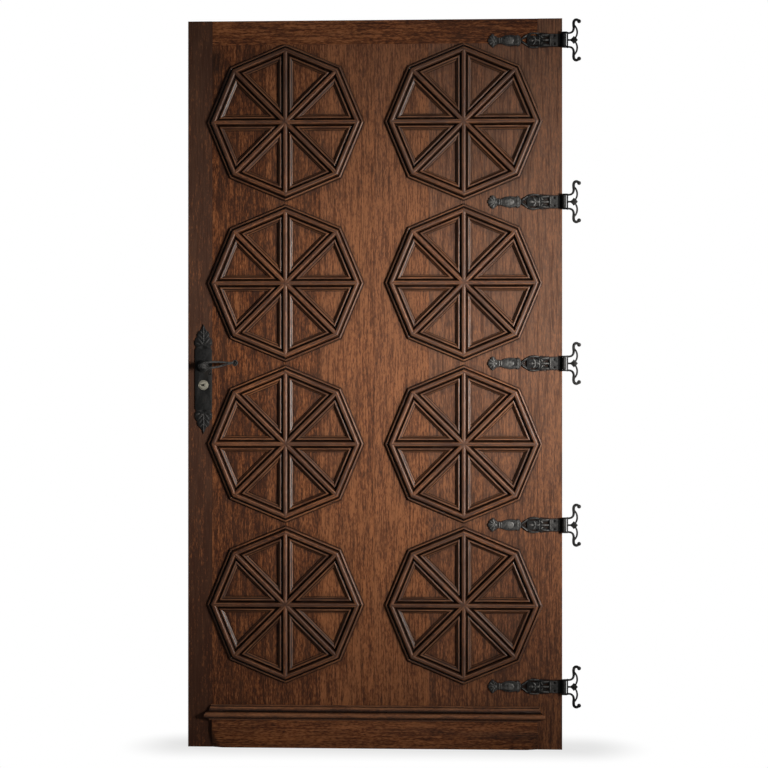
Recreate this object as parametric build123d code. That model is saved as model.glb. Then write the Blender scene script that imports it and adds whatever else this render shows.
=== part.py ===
"""Carved solid door leaf on five wrought strap hinges, with its lever lock."""
import os
from math import acos, atan, cos, degrees, radians, tan

from build123d import *

os.makedirs("parts", exist_ok=True)

# Leaf, in millimetres: X runs towards the hinges, the carved face looks along -Y and Z is up.
LEAF_W = 1080
LEAF_H = 2100
LEAF_T = 45
HINGE_REACH = 54
LEFT = -(LEAF_W + HINGE_REACH) / 2
RIGHT = LEFT + LEAF_W
MIDDLE = LEFT + LEAF_W / 2
FRONT = -LEAF_T / 2
BACK = LEAF_T / 2

# Joinery of the flush leaf.
STILE_W = 70
TOP_RAIL_H = 70
KICK_H = 80
KICK_PROUD = 10
KICK_BEVEL_W = 32
KICK_BEVEL_H = 42
BOARDS = 6
TONGUE = 7.5
TONGUE_T = 12
GROOVE = 8
TENON = 40
TENON_SHOULDER = 10
FIELD_L = LEFT + STILE_W
FIELD_R = RIGHT - STILE_W
FIELD_TOP = LEAF_H - TOP_RAIL_H

# Weather bar: heights above its foot, and how far each step stands proud of the leaf.
BAR_Z = KICK_H
BAR_HALF = 473
BAR_FOOT_H = 6
BAR_FOOT_PROUD = 11
BAR_NOSE_R = 9
BAR_NOSE_SHOULDER = 15
BAR_NOSE_FLATS = 5
BAR_COVE_FLATS = 3
BAR_COVE_H = 36
BAR_COVE_PROUD = 8
BAR_COVE_DIP = 3
BAR_TOP_H = 43
BAR_TOP_PROUD = 6

# Octagons: columns and rows of mitred sticks planted on the face.
ROWS = 4
COLUMNS = 2
SIDES = 8
PITCH_Z = 464
LOWEST_Z = 413
COLUMN_OFFSET = 257
APOTHEM = 192.5
STICK_TOP_HALF = 4.5
STICK_FOOT_HALF = 9
STICK_TOP_H = 16
STICK_OUTER_W = 17.5
STICK_OUTER_H = 7
STICK_INNER_W = 22
STICK_BEAD_H = 8.5
STICK_EDGE_H = 3

# Strap hinges: one between each pair of rows, and one above and below them.
HINGES = ROWS + 1
HINGE_Z = LOWEST_Z - PITCH_Z / 2
IRON_T = 4
AXIS_X = RIGHT + 5
AXIS_Y = FRONT - 8
KNUCKLE_R = 6.5
KNUCKLE_FLATS = 12
KNUCKLE_HALF = 18
KNUCKLE_CLEAR = 7.8
PIN_R = 3.5
PIN_FIT = 0.05
EAR_GAP = 0.3
EAR_T = 4
EAR_NOSE = 6.2
EAR_CHEEK = 5.5
EAR_CLIP = 2.8

# Strap outline: distance from the leaf's edge, then half the height there.
STRAP_TIP = (213, 0)
PALMETTE_CURVE = (210, 12)
PALMETTE_WIDE = (199, 19)
PALMETTE_DIP = (193, 12.5)
NECK = (187, 9)
OVAL_START = (174, 8.5)
OVAL_WIDE = (150, 15.5)
OVAL_END = (131, 13)
COLLAR_POINT = (128, 17)
COLLAR_END = (122, 13)
WAIST = (118, 5)
HEART_START = (97, 19.5)
HEART_WIDE = (82, 22.5)
HEART_END = (64, 17.5)
FLEUR_START = (62, 21)
FLEUR_END = (35, 17)
BASE_HALF = 17.5
PALMETTE_FLATS = 4
DIP_FLATS = 2
OVAL_FLATS = 4
HEART_FLATS = 5
FORK_TIP = (115, 0)
FORK_END = (101, 10)
CRESCENT_TIP = (94, 13)
CRESCENT_OUTER = (80, 18)
CRESCENT_INNER = (80, 13.5)
CRESCENT_END = (68, 9)
CRESCENT_FLATS = 3
EYE_TIP = (58, 4)
EYE_TOP = (38, 12)
EYE_FOOT = (38, 4)

# Jamb leaf: distance past the leaf's edge, then height from the hinge's middle.
SCROLL_W = 6
HOOK_W = 8.4
JAMB_BASE_W = 4
SCROLL_START = 20
SCROLL_BEND_X = 20.5
SCROLL_X = 32.5
SCROLL_HOOK_Z = 50
SCROLL_HOOK_R = 8.2
SCROLL_BEND_FLATS = 3
SCROLL_HOOK_FLATS = 6
BULB_R = 6
BULB_FLATS = 10
BRANCH_FLATS = 3
TULIP_FLATS = 3
BRANCH_START = (33, 44)
BRANCH_BEND = (42.5, 26)
BRANCH_END = (37.5, 5)
BRANCH_W = 5.5
TULIP_TIP = (19, 0)
TULIP_DIP = (27, 5)
TULIP_WIDE = (32.5, 11.5)
TULIP_SHOULDER = (38.5, 7.5)
TULIP_END = (44.5, 0)

# Lock set.
LOCK_X = LEFT + 45
SPINDLE_Z = 1102
CYLINDER_Z = 1047
SPINDLE_SIDE = 8
SPINDLE_FIT = 0.05
FOLLOWER_R = 8
BEARING_FIT = 0.05
CYLINDER_R = 14.5
CYLINDER_PROUD = 1.5
PLUG_R = 12.5
KEYWAY_R = 2.5
KEYWAY_TAIL = 10.5
KEYWAY_TAIL_HALF = 0.9
KEYWAY_FLATS = 12
KEYWAY_DEPTH = 24
CASE_T = 16
CASE_DEPTH = 56
CASE_Z0 = 990
CASE_Z1 = 1140
FACEPLATE_T = 3
FACEPLATE_W = 22
FACEPLATE_Z0 = 950
FACEPLATE_Z1 = 1180
LATCH_L = 34
LATCH_T = 12
LATCH_H = 14
LATCH_BEVEL = 9
BOLT_Z = 1016
BOLT_L = 46
BOLT_T = 10
BOLT_H = 26
BOLT_FIT = 0.3
ACCESS_W = 30

# Lock plates: half an end, as distance from the middle line and from the plate's middle.
PLATE_Z = 1064.5
PLATE_T = 3
PLATE_HALF_W = 24.5
PLATE_SPINDLE_HOLE = 14
PLATE_SHOULDER_Z = 84
LOBE_START = (20, 93)
LOBE_WIDE = (25.5, 107)
LOBE_END = (17.5, 122)
LEAFLET_WIDE = (17.5, 132)
LEAFLET_END = (9, 140)
LOBE_FLATS = 4
LEAFLET_FLATS = 3
SPEAR_FLATS = 2
SPEAR_DIP = (4.5, 148)
SPEAR_TIP = (0, 158.5)

# Levers: heights above the plate, then the grip's curves along the lever and up from its middle line.
LEVER_GAP = 0.3
LEVER_RISE_DEG = 5.5
ROSE_R = 17
ROSE_H = 7
ROSE_TOP_R = 10
ROSE_TOP_H = 12
ROSE_FLATS = 20
NECK_SIDE = 13
SOCKET_H = 28
GRIP_H0 = 29
GRIP_H1 = 41
GRIP_CURVE = ((0, 9), (22, 13.5), (46, 11), (78, 4))
GRIP_SLOT_CURVE = ((11, 0), (17, 7.5), (40, 6), (72, 0))
SCROLL_TIP_X = 96
SCROLL_TIP_R = 10.5
SCROLL_TIP_FLATS = 10
GRIP_FLATS = 5


def block(x0, x1, y0, y1, z0, z1):
    """Box between two corners, given in any order."""
    return Pos((x0 + x1) / 2, (y0 + y1) / 2, (z0 + z1) / 2) * Box(abs(x1 - x0), abs(y1 - y0), abs(z1 - z0))


def mirrored_face(half, about):
    """Face bounded by half an outline and its mirror image."""
    return make_face(half + mirror(half, about=about))


def flats(curve, count):
    """Points along a curve that is worked in a number of flats."""
    return [curve @ (i / count) for i in range(count + 1)]


def flip(point):
    """The same point on the other side of the middle line."""
    return (point[0], -point[1])


def rod(x, z, radius, y0, y1):
    """Round bar across the leaf."""
    return Pos(x, (y0 + y1) / 2, z) * Rot(90, 0, 0) * Cylinder(radius, abs(y1 - y0))


def save(shape, node):
    """Write one node."""
    export_step(shape, f"parts/{node}.step")


# Rails run between the stiles on haunched tenons, and are grooved for the ends of the boards.
KICK_TENON = (TENON_SHOULDER, KICK_H - TENON_SHOULDER)
TOP_TENON = (FIELD_TOP + TENON_SHOULDER, LEAF_H - TENON_SHOULDER)


def across(z0, z1, past):
    """Tongue-thick slab between the stiles, reaching past both of their edges."""
    return block(FIELD_L - past, FIELD_R + past, -TONGUE_T / 2, TONGUE_T / 2, z0, z1)


kick_front = FRONT - KICK_PROUD
kick_rail = block(FIELD_L, FIELD_R, kick_front, BACK, 0, KICK_H)
kick_rail -= across(KICK_H - GROOVE, KICK_H, 0)
kick_rail += across(0, KICK_H - GROOVE, GROOVE) + across(*KICK_TENON, TENON)
for corner, inward in ((FIELD_L, 1), (FIELD_R, -1)):
    along = Vector(corner + inward * KICK_BEVEL_W, kick_front, 0)
    up = Vector(corner, kick_front, KICK_BEVEL_H)
    behind = Vector(corner, FRONT, 0)
    out = (up - along).cross(behind - along) * inward
    kick_rail = split(kick_rail, Plane(along, z_dir=out), keep=Keep.BOTTOM)
save(kick_rail, "kick_rail")

top_rail = block(FIELD_L, FIELD_R, FRONT, BACK, FIELD_TOP, LEAF_H)
top_rail -= across(FIELD_TOP, FIELD_TOP + GROOVE, 0)
top_rail += across(FIELD_TOP + GROOVE, LEAF_H, GROOVE) + across(*TOP_TENON, TENON)
save(top_rail, "top_rail")


# Stiles run the full height, grooved for the boards and mortised for the tenons.
def stile(outer, inner):
    """Stile from its outer edge to the edge that meets the field."""
    inward = 1 if outer > inner else -1
    body = block(outer, inner, FRONT, BACK, 0, LEAF_H)
    body -= block(inner, inner + inward * GROOVE, -TONGUE_T / 2, TONGUE_T / 2, 0, LEAF_H)
    for z0, z1 in (KICK_TENON, TOP_TENON):
        body -= block(inner, inner + inward * TENON, -TONGUE_T / 2, TONGUE_T / 2, z0, z1)
    return body


lock_stile = stile(LEFT, FIELD_L)
lock_stile -= block(LEFT, LEFT + CASE_DEPTH, -CASE_T / 2, CASE_T / 2, CASE_Z0, CASE_Z1)
faceplate_half = FACEPLATE_W / 2
lock_stile -= block(LEFT, LEFT + FACEPLATE_T, -faceplate_half, faceplate_half, FACEPLATE_Z0, FACEPLATE_Z1)
access = ACCESS_W / 2
lock_stile -= block(LOCK_X - access, LOCK_X + access, FRONT, BACK, CYLINDER_Z - access, SPINDLE_Z + access)
save(lock_stile, "lock_stile")
save(stile(RIGHT, FIELD_R), "hinge_stile")

# Field boards are tongued into each other, into the stiles and into the rails.
board_w = (FIELD_R - FIELD_L) / BOARDS
for i in range(BOARDS):
    x0 = FIELD_L + i * board_w
    x1 = x0 + board_w
    foot = KICK_H - TONGUE
    head = FIELD_TOP + TONGUE
    board = block(x0, x1, FRONT, BACK, KICK_H, FIELD_TOP)
    tongue_start = x0 - TONGUE if i == 0 else x0
    board += block(tongue_start, x1 + TONGUE, -TONGUE_T / 2, TONGUE_T / 2, foot, head)
    if i > 0:
        board -= block(x0, x0 + GROOVE, -TONGUE_T / 2, TONGUE_T / 2, foot, head)
    save(board, f"field_board_{i + 1}")

# Weather bar: one profile along the leaf, cut by the same profile at both ends as mitred returns.
nose_top = BAR_FOOT_H + 2 * BAR_NOSE_R
nose_tip = (BAR_NOSE_SHOULDER + BAR_NOSE_R, BAR_FOOT_H + BAR_NOSE_R)
cove_middle = ((BAR_NOSE_SHOULDER + BAR_COVE_PROUD) / 2, (nose_top + BAR_COVE_H) / 2)
cove_dip = (cove_middle[0] - BAR_COVE_DIP, cove_middle[1] - BAR_COVE_DIP)
nose = ThreePointArc((BAR_NOSE_SHOULDER, BAR_FOOT_H), nose_tip, (BAR_NOSE_SHOULDER, nose_top))
cove = ThreePointArc((BAR_NOSE_SHOULDER, nose_top), cove_dip, (BAR_COVE_PROUD, BAR_COVE_H))
bar_profile = make_face(
    Polyline(
        (BAR_TOP_PROUD, BAR_TOP_H),
        (0, BAR_TOP_H),
        (0, 0),
        (BAR_FOOT_PROUD, 0),
        (BAR_FOOT_PROUD, BAR_FOOT_H),
        *flats(nose, BAR_NOSE_FLATS),
        *flats(cove, BAR_COVE_FLATS)[1:],
        close=True,
    )
)
bar_core = BAR_HALF - BAR_TOP_PROUD
bar_reach = nose_tip[0]
along_leaf = Plane((MIDDLE + BAR_HALF + bar_reach, FRONT, BAR_Z), x_dir=(0, -1, 0), z_dir=(-1, 0, 0))
bar_run = extrude(along_leaf * bar_profile, 2 * (BAR_HALF + bar_reach))
out_of_leaf = Plane((MIDDLE + bar_core, FRONT, BAR_Z), x_dir=(1, 0, 0), z_dir=(0, -1, 0))
bar_return = extrude(out_of_leaf * bar_profile, bar_reach)
bar_ends = block(MIDDLE - bar_core, MIDDLE + bar_core, FRONT - bar_reach, FRONT, BAR_Z, BAR_Z + BAR_TOP_H)
bar_ends += bar_return + mirror(bar_return, about=Plane.YZ.offset(MIDDLE))
save(bar_run & bar_ends, "weather_bar")

# Octagon sticks: the frame's inner side and both sides of a spoke share one moulding, so mitres match.
half_turn = radians(180 / SIDES)
spoke_mitre = radians(90 - 180 / SIDES) / 2
vertex_r = APOTHEM / cos(half_turn)
stick_half_l = APOTHEM * tan(half_turn)
inner_side = Polyline(
    (0, STICK_TOP_H),
    (-STICK_TOP_HALF, STICK_TOP_H),
    (-STICK_FOOT_HALF, STICK_BEAD_H),
    (-STICK_INNER_W, STICK_EDGE_H),
    (-STICK_INNER_W, 0),
    (0, 0),
)
outer_side = Polyline(
    (0, 0),
    (STICK_OUTER_W, 0),
    (STICK_OUTER_W, STICK_OUTER_H),
    (STICK_FOOT_HALF, STICK_OUTER_H),
    (STICK_TOP_HALF, STICK_TOP_H),
    (0, STICK_TOP_H),
)
frame_profile = make_face(inner_side + outer_side)
spoke_profile = make_face(inner_side + mirror(inner_side, about=Plane.YZ))
frame_plan = make_face(
    Polyline(
        (APOTHEM + STICK_OUTER_W, (APOTHEM + STICK_OUTER_W) * tan(half_turn)),
        (APOTHEM, stick_half_l),
        (APOTHEM - STICK_INNER_W, stick_half_l - STICK_INNER_W / tan(spoke_mitre)),
        (APOTHEM - STICK_INNER_W, STICK_INNER_W / tan(spoke_mitre) - stick_half_l),
        (APOTHEM, -stick_half_l),
        (APOTHEM + STICK_OUTER_W, -(APOTHEM + STICK_OUTER_W) * tan(half_turn)),
        close=True,
    )
)
spoke_plan = make_face(
    Polyline(
        (0, 0),
        (STICK_INNER_W / tan(half_turn), STICK_INNER_W),
        (vertex_r - STICK_INNER_W / tan(spoke_mitre), STICK_INNER_W),
        (vertex_r, 0),
        (vertex_r - STICK_INNER_W / tan(spoke_mitre), -STICK_INNER_W),
        (STICK_INNER_W / tan(half_turn), -STICK_INNER_W),
        close=True,
    )
)
frame_line = Plane((APOTHEM, vertex_r, 0), x_dir=(1, 0, 0), z_dir=(0, -1, 0))
frame_stick = extrude(frame_line * frame_profile, 2 * vertex_r) & extrude(frame_plan, STICK_TOP_H)
spoke_line = Plane((0, 0, 0), x_dir=(0, 1, 0), z_dir=(1, 0, 0))
spoke = extrude(spoke_line * spoke_profile, vertex_r) & extrude(spoke_plan, STICK_TOP_H)
sticks = []
for i in range(SIDES):
    sticks.append(Rot(0, 0, (i + 0.5) * 360 / SIDES) * frame_stick)
    sticks.append(Rot(0, 0, i * 360 / SIDES) * spoke)
octagon = Compound(children=sticks)
for row in range(ROWS):
    for column in range(COLUMNS):
        x = MIDDLE + (2 * column - 1) * COLUMN_OFFSET
        z = LOWEST_Z + (ROWS - 1 - row) * PITCH_Z
        face = Plane((x, FRONT, z), x_dir=(1, 0, 0), z_dir=(0, -1, 0))
        save(face.location * octagon, f"octagon_moulding_r{row + 1}c{column + 1}")


# Hinges: the strap's knuckle turns on a pin held between two ears of the jamb leaf.
strap_half = Polyline(
    *flats(ThreePointArc(STRAP_TIP, PALMETTE_CURVE, PALMETTE_WIDE), PALMETTE_FLATS),
    *flats(ThreePointArc(PALMETTE_WIDE, PALMETTE_DIP, NECK), DIP_FLATS)[1:],
    *flats(ThreePointArc(OVAL_START, OVAL_WIDE, OVAL_END), OVAL_FLATS),
    COLLAR_POINT,
    COLLAR_END,
    WAIST,
    *flats(ThreePointArc(HEART_START, HEART_WIDE, HEART_END), HEART_FLATS),
    FLEUR_START,
    FLEUR_END,
    (FLEUR_END[0], BASE_HALF),
    (RIGHT - AXIS_X + KNUCKLE_CLEAR, BASE_HALF),
    (RIGHT - AXIS_X + KNUCKLE_CLEAR, 0),
)
fork = make_face(Polyline(FORK_TIP, FORK_END, flip(FORK_END), close=True))
crescent = make_face(
    Polyline(
        *flats(ThreePointArc(CRESCENT_TIP, CRESCENT_OUTER, CRESCENT_END), CRESCENT_FLATS),
        *flats(ThreePointArc(CRESCENT_END, CRESCENT_INNER, CRESCENT_TIP), CRESCENT_FLATS)[1:-1],
        close=True,
    )
)
eye = make_face(Polyline(EYE_TIP, EYE_TOP, EYE_FOOT, close=True))
strap_face = mirrored_face(strap_half, Plane.XZ) - fork
for opening in (crescent, eye):
    strap_face -= opening + mirror(opening, about=Plane.XZ)
toward_tip = Plane((RIGHT, FRONT, 0), x_dir=(-1, 0, 0), z_dir=(0, -1, 0))
on_axis = Plane((AXIS_X, AXIS_Y, -KNUCKLE_HALF))
strap = extrude(toward_tip * strap_face, IRON_T)
strap += block(AXIS_X - KNUCKLE_CLEAR, AXIS_X, FRONT - IRON_T, FRONT, -KNUCKLE_HALF, KNUCKLE_HALF)
strap += extrude(on_axis * RegularPolygon(KNUCKLE_R, KNUCKLE_FLATS), 2 * KNUCKLE_HALF)
strap -= extrude(on_axis * Circle(PIN_R + PIN_FIT), 2 * KNUCKLE_HALF)

base_x = AXIS_X - RIGHT + KNUCKLE_CLEAR
bend_r = SCROLL_X - SCROLL_BEND_X
bend_centre = (SCROLL_BEND_X, SCROLL_START + bend_r)
hook_centre = (SCROLL_X + SCROLL_HOOK_R, SCROLL_HOOK_Z)
hook_end = degrees(acos((HINGE_REACH - BULB_R - hook_centre[0]) / SCROLL_HOOK_R))
hook_sweep = 180 - hook_end
half_w = SCROLL_W / 2
hook_half = HOOK_W / 2
arm = make_face(
    Polyline(
        (base_x, SCROLL_START - half_w),
        *flats(CenterArc(bend_centre, bend_r + half_w, -90, 90), SCROLL_BEND_FLATS),
        *flats(CenterArc(hook_centre, SCROLL_HOOK_R - hook_half, 180, -hook_sweep), SCROLL_HOOK_FLATS),
        *flats(CenterArc(hook_centre, SCROLL_HOOK_R + hook_half, hook_end, hook_sweep), SCROLL_HOOK_FLATS),
        *flats(CenterArc(bend_centre, bend_r - half_w, 0, -90), SCROLL_BEND_FLATS),
        (base_x, SCROLL_START + half_w),
        close=True,
    )
)
bulb_at = CenterArc(hook_centre, SCROLL_HOOK_R, 180, -hook_sweep) @ 1
arm += Pos(bulb_at) * RegularPolygon(BULB_R, BULB_FLATS)
branch = ThreePointArc(BRANCH_START, BRANCH_BEND, BRANCH_END)
arm += trace(Polyline(*flats(branch, BRANCH_FLATS)), BRANCH_W)
tulip_half = Polyline(
    *flats(ThreePointArc(TULIP_TIP, TULIP_DIP, TULIP_WIDE), TULIP_FLATS),
    *flats(ThreePointArc(TULIP_WIDE, TULIP_SHOULDER, TULIP_END), TULIP_FLATS)[1:],
)
jamb_face = Pos(base_x + JAMB_BASE_W / 2, 0) * Rectangle(JAMB_BASE_W, 2 * SCROLL_START + SCROLL_W)
jamb_face += trace(Line((base_x, 0), (TULIP_WIDE[0], 0)), SCROLL_W)
jamb_face += mirrored_face(tulip_half, Plane.XZ) + arm + mirror(arm, about=Plane.XZ)
past_edge = Plane((RIGHT, FRONT, 0), x_dir=(1, 0, 0), z_dir=(0, -1, 0))
jamb_leaf = extrude(past_edge * jamb_face, IRON_T)
ear_back = FRONT - AXIS_Y
ear_face = make_face(
    Polyline(
        (KNUCKLE_CLEAR, ear_back),
        (0, ear_back),
        (-EAR_NOSE + EAR_CLIP, EAR_CHEEK),
        (-EAR_NOSE, EAR_CLIP),
        (-EAR_NOSE, -EAR_CLIP),
        (-EAR_NOSE + EAR_CLIP, -EAR_CHEEK),
        (KNUCKLE_CLEAR, -EAR_CHEEK),
        close=True,
    )
)
ear_z = KNUCKLE_HALF + EAR_GAP
ear = extrude(Plane((AXIS_X, AXIS_Y, ear_z)) * ear_face, EAR_T)
jamb_leaf += ear + mirror(ear, about=Plane.XY)
jamb_leaf += Pos(AXIS_X, AXIS_Y, 0) * Cylinder(PIN_R, 2 * ear_z)
for i in range(HINGES):
    height = Pos(0, 0, HINGE_Z + i * PITCH_Z)
    save(height * strap, f"strap_{i + 1}")
    save(height * jamb_leaf, f"jamb_leaf_{i + 1}")

# Lock plates, one on each face.
plate_end = Polyline(
    (PLATE_HALF_W, 0),
    (PLATE_HALF_W, PLATE_SHOULDER_Z),
    *flats(ThreePointArc(LOBE_START, LOBE_WIDE, LOBE_END), LOBE_FLATS),
    *flats(ThreePointArc(LOBE_END, LEAFLET_WIDE, LEAFLET_END), LEAFLET_FLATS)[1:],
    *flats(ThreePointArc(LEAFLET_END, SPEAR_DIP, SPEAR_TIP), SPEAR_FLATS)[1:],
)
plate_face = mirrored_face(plate_end + mirror(plate_end, about=Plane.XZ), Plane.YZ)
plate_face -= Pos(0, SPINDLE_Z - PLATE_Z) * Rectangle(PLATE_SPINDLE_HOLE, PLATE_SPINDLE_HOLE)
plate_face -= Pos(0, CYLINDER_Z - PLATE_Z) * Circle(CYLINDER_R + BEARING_FIT)
plate_plane = Plane((LOCK_X, FRONT, PLATE_Z), x_dir=(1, 0, 0), z_dir=(0, -1, 0))
plate = extrude(plate_plane * plate_face, PLATE_T)
save(plate, "front_plate")
save(mirror(plate, about=Plane.XZ), "back_plate")

# Levers: a domed rose and neck with a square socket, and a forged loop grip that ends in a rolled scroll.
rose_rim = RegularPolygon(ROSE_R, ROSE_FLATS)
rose_slope = degrees(atan((ROSE_R - ROSE_TOP_R) / (ROSE_TOP_H - ROSE_H)))
rose = extrude(rose_rim, ROSE_H)
rose += extrude(Pos(0, 0, ROSE_H) * rose_rim, ROSE_TOP_H - ROSE_H, taper=rose_slope)
neck = Pos(0, 0, GRIP_H1 / 2) * Box(NECK_SIDE, NECK_SIDE, GRIP_H1)
grip_half = Polyline(
    (0, 0),
    *flats(Bezier(*GRIP_CURVE), GRIP_FLATS),
    (SCROLL_TIP_X, GRIP_CURVE[-1][1]),
    (SCROLL_TIP_X, 0),
)
slot_half = Polyline(*flats(Bezier(*GRIP_SLOT_CURVE), GRIP_FLATS))
grip_face = mirrored_face(grip_half, Plane.XZ) - mirrored_face(slot_half, Plane.XZ)
grip_face += Pos(SCROLL_TIP_X, 0) * RegularPolygon(SCROLL_TIP_R, SCROLL_TIP_FLATS)
grip = extrude(Pos(0, 0, GRIP_H0) * Rot(0, 0, LEVER_RISE_DEG) * grip_face, GRIP_H1 - GRIP_H0)
socket_side = SPINDLE_SIDE + 2 * SPINDLE_FIT
socket = Pos(0, 0, SOCKET_H / 2) * Box(socket_side, socket_side, SOCKET_H)
lever_seat = FRONT - PLATE_T - LEVER_GAP
lever_plane = Plane((LOCK_X, lever_seat, SPINDLE_Z), x_dir=(1, 0, 0), z_dir=(0, -1, 0))
lever = lever_plane.location * (rose + neck + grip - socket)
save(lever, "front_lever")
save(mirror(lever, about=Plane.XZ), "back_lever")

# Spindle through both levers, and the follower it turns in the lock case.
spindle_end = SOCKET_H - lever_seat - LEVER_GAP
save(Pos(LOCK_X, 0, SPINDLE_Z) * Box(SPINDLE_SIDE, 2 * spindle_end, SPINDLE_SIDE), "spindle")
case_half = CASE_T / 2
follower = rod(LOCK_X, SPINDLE_Z, FOLLOWER_R, -case_half, case_half)
follower -= Pos(LOCK_X, 0, SPINDLE_Z) * Box(socket_side, CASE_T, socket_side)
save(follower, "follower")


# Bolts slide out of the leaf's edge through the faceplate.
def bolt(length, thickness, height, z, play):
    """Bar from the leaf's edge inwards, with play all round it and behind it."""
    half_t = thickness / 2 + play
    half_h = height / 2 + play
    return block(LEFT, LEFT + length + play, -half_t, half_t, z - half_h, z + half_h)


latch_size = (LATCH_L, LATCH_T, LATCH_H, SPINDLE_Z)
dead_size = (BOLT_L, BOLT_T, BOLT_H, BOLT_Z)
latch_nose = Plane((LEFT, 0, SPINDLE_Z), z_dir=(-LATCH_T, LATCH_BEVEL, 0))
save(split(bolt(*latch_size, 0), latch_nose, keep=Keep.BOTTOM), "latch_bolt")
save(bolt(*dead_size, 0), "dead_bolt")
pockets = bolt(*latch_size, BOLT_FIT) + bolt(*dead_size, BOLT_FIT)
faceplate = block(LEFT, LEFT + FACEPLATE_T, -faceplate_half, faceplate_half, FACEPLATE_Z0, FACEPLATE_Z1)
save(faceplate - pockets, "faceplate")
lock_case = block(LEFT + FACEPLATE_T, LEFT + CASE_DEPTH, -case_half, case_half, CASE_Z0, CASE_Z1) - pockets
lock_case -= rod(LOCK_X, SPINDLE_Z, FOLLOWER_R + BEARING_FIT, -case_half, case_half)
lock_case -= Pos(LOCK_X, 0, CYLINDER_Z) * Box(ACCESS_W, CASE_T, ACCESS_W)
save(lock_case, "lock_case")

# Lock cylinder right through the leaf, with a teardrop keyway sunk into its plug from both faces.
cylinder_end = BACK + PLATE_T + CYLINDER_PROUD
cylinder_body = rod(LOCK_X, CYLINDER_Z, CYLINDER_R, -cylinder_end, cylinder_end)
cylinder_body -= rod(LOCK_X, CYLINDER_Z, PLUG_R + BEARING_FIT, -cylinder_end, cylinder_end)
save(cylinder_body, "cylinder_body")
keyway = RegularPolygon(KEYWAY_R, KEYWAY_FLATS) + make_face(
    Polyline(
        (0, KEYWAY_R),
        (-KEYWAY_TAIL, KEYWAY_TAIL_HALF),
        (-KEYWAY_TAIL, -KEYWAY_TAIL_HALF),
        (0, -KEYWAY_R),
        close=True,
    )
)
key_line = Plane((LOCK_X, KEYWAY_DEPTH - cylinder_end, CYLINDER_Z), x_dir=(1, 0, 0), z_dir=(0, -1, 0))
key_slot = extrude(key_line * keyway, KEYWAY_DEPTH)
plug = rod(LOCK_X, CYLINDER_Z, PLUG_R, -cylinder_end, cylinder_end)
save(plug - key_slot - mirror(key_slot, about=Plane.XZ), "cylinder_plug")
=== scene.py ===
"""Looks of the carved solid door: oiled joinery, planted octagons, blacked hinges and lock."""
import random
from math import cos, pi, radians, sin, sqrt, tan

import bmesh
import bpy
from mathutils import Matrix, Vector


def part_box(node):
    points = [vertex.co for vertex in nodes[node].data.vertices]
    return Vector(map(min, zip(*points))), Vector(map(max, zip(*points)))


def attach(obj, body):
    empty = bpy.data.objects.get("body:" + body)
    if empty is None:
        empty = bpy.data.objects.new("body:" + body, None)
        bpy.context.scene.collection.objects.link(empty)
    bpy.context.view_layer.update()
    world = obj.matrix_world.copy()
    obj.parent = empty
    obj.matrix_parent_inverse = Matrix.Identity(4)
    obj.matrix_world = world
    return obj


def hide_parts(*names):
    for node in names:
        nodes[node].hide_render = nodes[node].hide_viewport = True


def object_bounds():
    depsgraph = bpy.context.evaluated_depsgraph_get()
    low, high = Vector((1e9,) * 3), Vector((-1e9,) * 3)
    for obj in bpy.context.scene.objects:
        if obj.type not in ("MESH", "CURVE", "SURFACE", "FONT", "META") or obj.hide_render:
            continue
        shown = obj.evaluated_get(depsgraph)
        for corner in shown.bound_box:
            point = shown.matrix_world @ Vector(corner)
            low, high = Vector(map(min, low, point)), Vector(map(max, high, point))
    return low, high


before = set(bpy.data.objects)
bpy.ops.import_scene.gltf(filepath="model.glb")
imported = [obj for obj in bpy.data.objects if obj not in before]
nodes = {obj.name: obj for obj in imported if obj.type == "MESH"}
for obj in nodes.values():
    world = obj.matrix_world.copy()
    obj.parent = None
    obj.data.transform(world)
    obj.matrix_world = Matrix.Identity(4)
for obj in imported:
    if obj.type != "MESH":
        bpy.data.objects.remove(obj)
cad_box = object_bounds()
MM = 0.001

# The field is a row of hardwood planks, tongued edge to edge and flush with the stiles.
# They were planed by hand, so each joint shows as a hairline between two softened arrises,
# and painted shade, with some dirt of oil and smoke, darkens them round the planted octagons.
ARRIS = 0.5 * MM
SHARP = radians(25)
SMOOTH = radians(32)
BOARD_SEEDS = 30
PLANK_TONES = (0.12, 0.30, 0.74, 0.74, 0.38, 0.30)
# Painted sheen on each plank, growing towards the hinge side.
PLANK_SHEEN = (0.0, 0.08, 0.20, 0.25, 0.46, 0.54)
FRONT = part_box("field_board_1")[0].y
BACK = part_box("field_board_1")[1].y
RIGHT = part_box("hinge_stile")[1].x


def middle_of(name):
    """Middle of a CAD node's box."""
    low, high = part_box(name)
    return (low + high) / 2


# Where the octagons stand on the planks, and the width and strength of the painted shade and dirt round them.
OCTAGON_ROWS = 4
OCTAGON_PITCH = 464 * MM
LOWEST_OCTAGON = middle_of("octagon_moulding_r4c1").z
LEFT_OCTAGON = middle_of("octagon_moulding_r1c1").x
RIGHT_OCTAGON = middle_of("octagon_moulding_r1c2").x
SIDES = 8
APOTHEM = 192.5 * MM
FRAME_FOOT = 17.5 * MM
STICK_FOOT = 22 * MM
HALF_TURN = pi / SIDES
SHADE_AND_DIRT_LINE, SHADE_AND_DIRT_LINE_SHARE = 4 * MM, 0.6
SHADE_AND_DIRT_HALO, SHADE_AND_DIRT_HALO_SHARE = 20 * MM, 0.22
SMUDGE_AT = (-0.487, 1.985)
SMUDGE_SIZE = (0.022, 0.038)
SMUDGE_EDGE, SMUDGE_SHARE = (0.2, 1.2), 0.6
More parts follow.
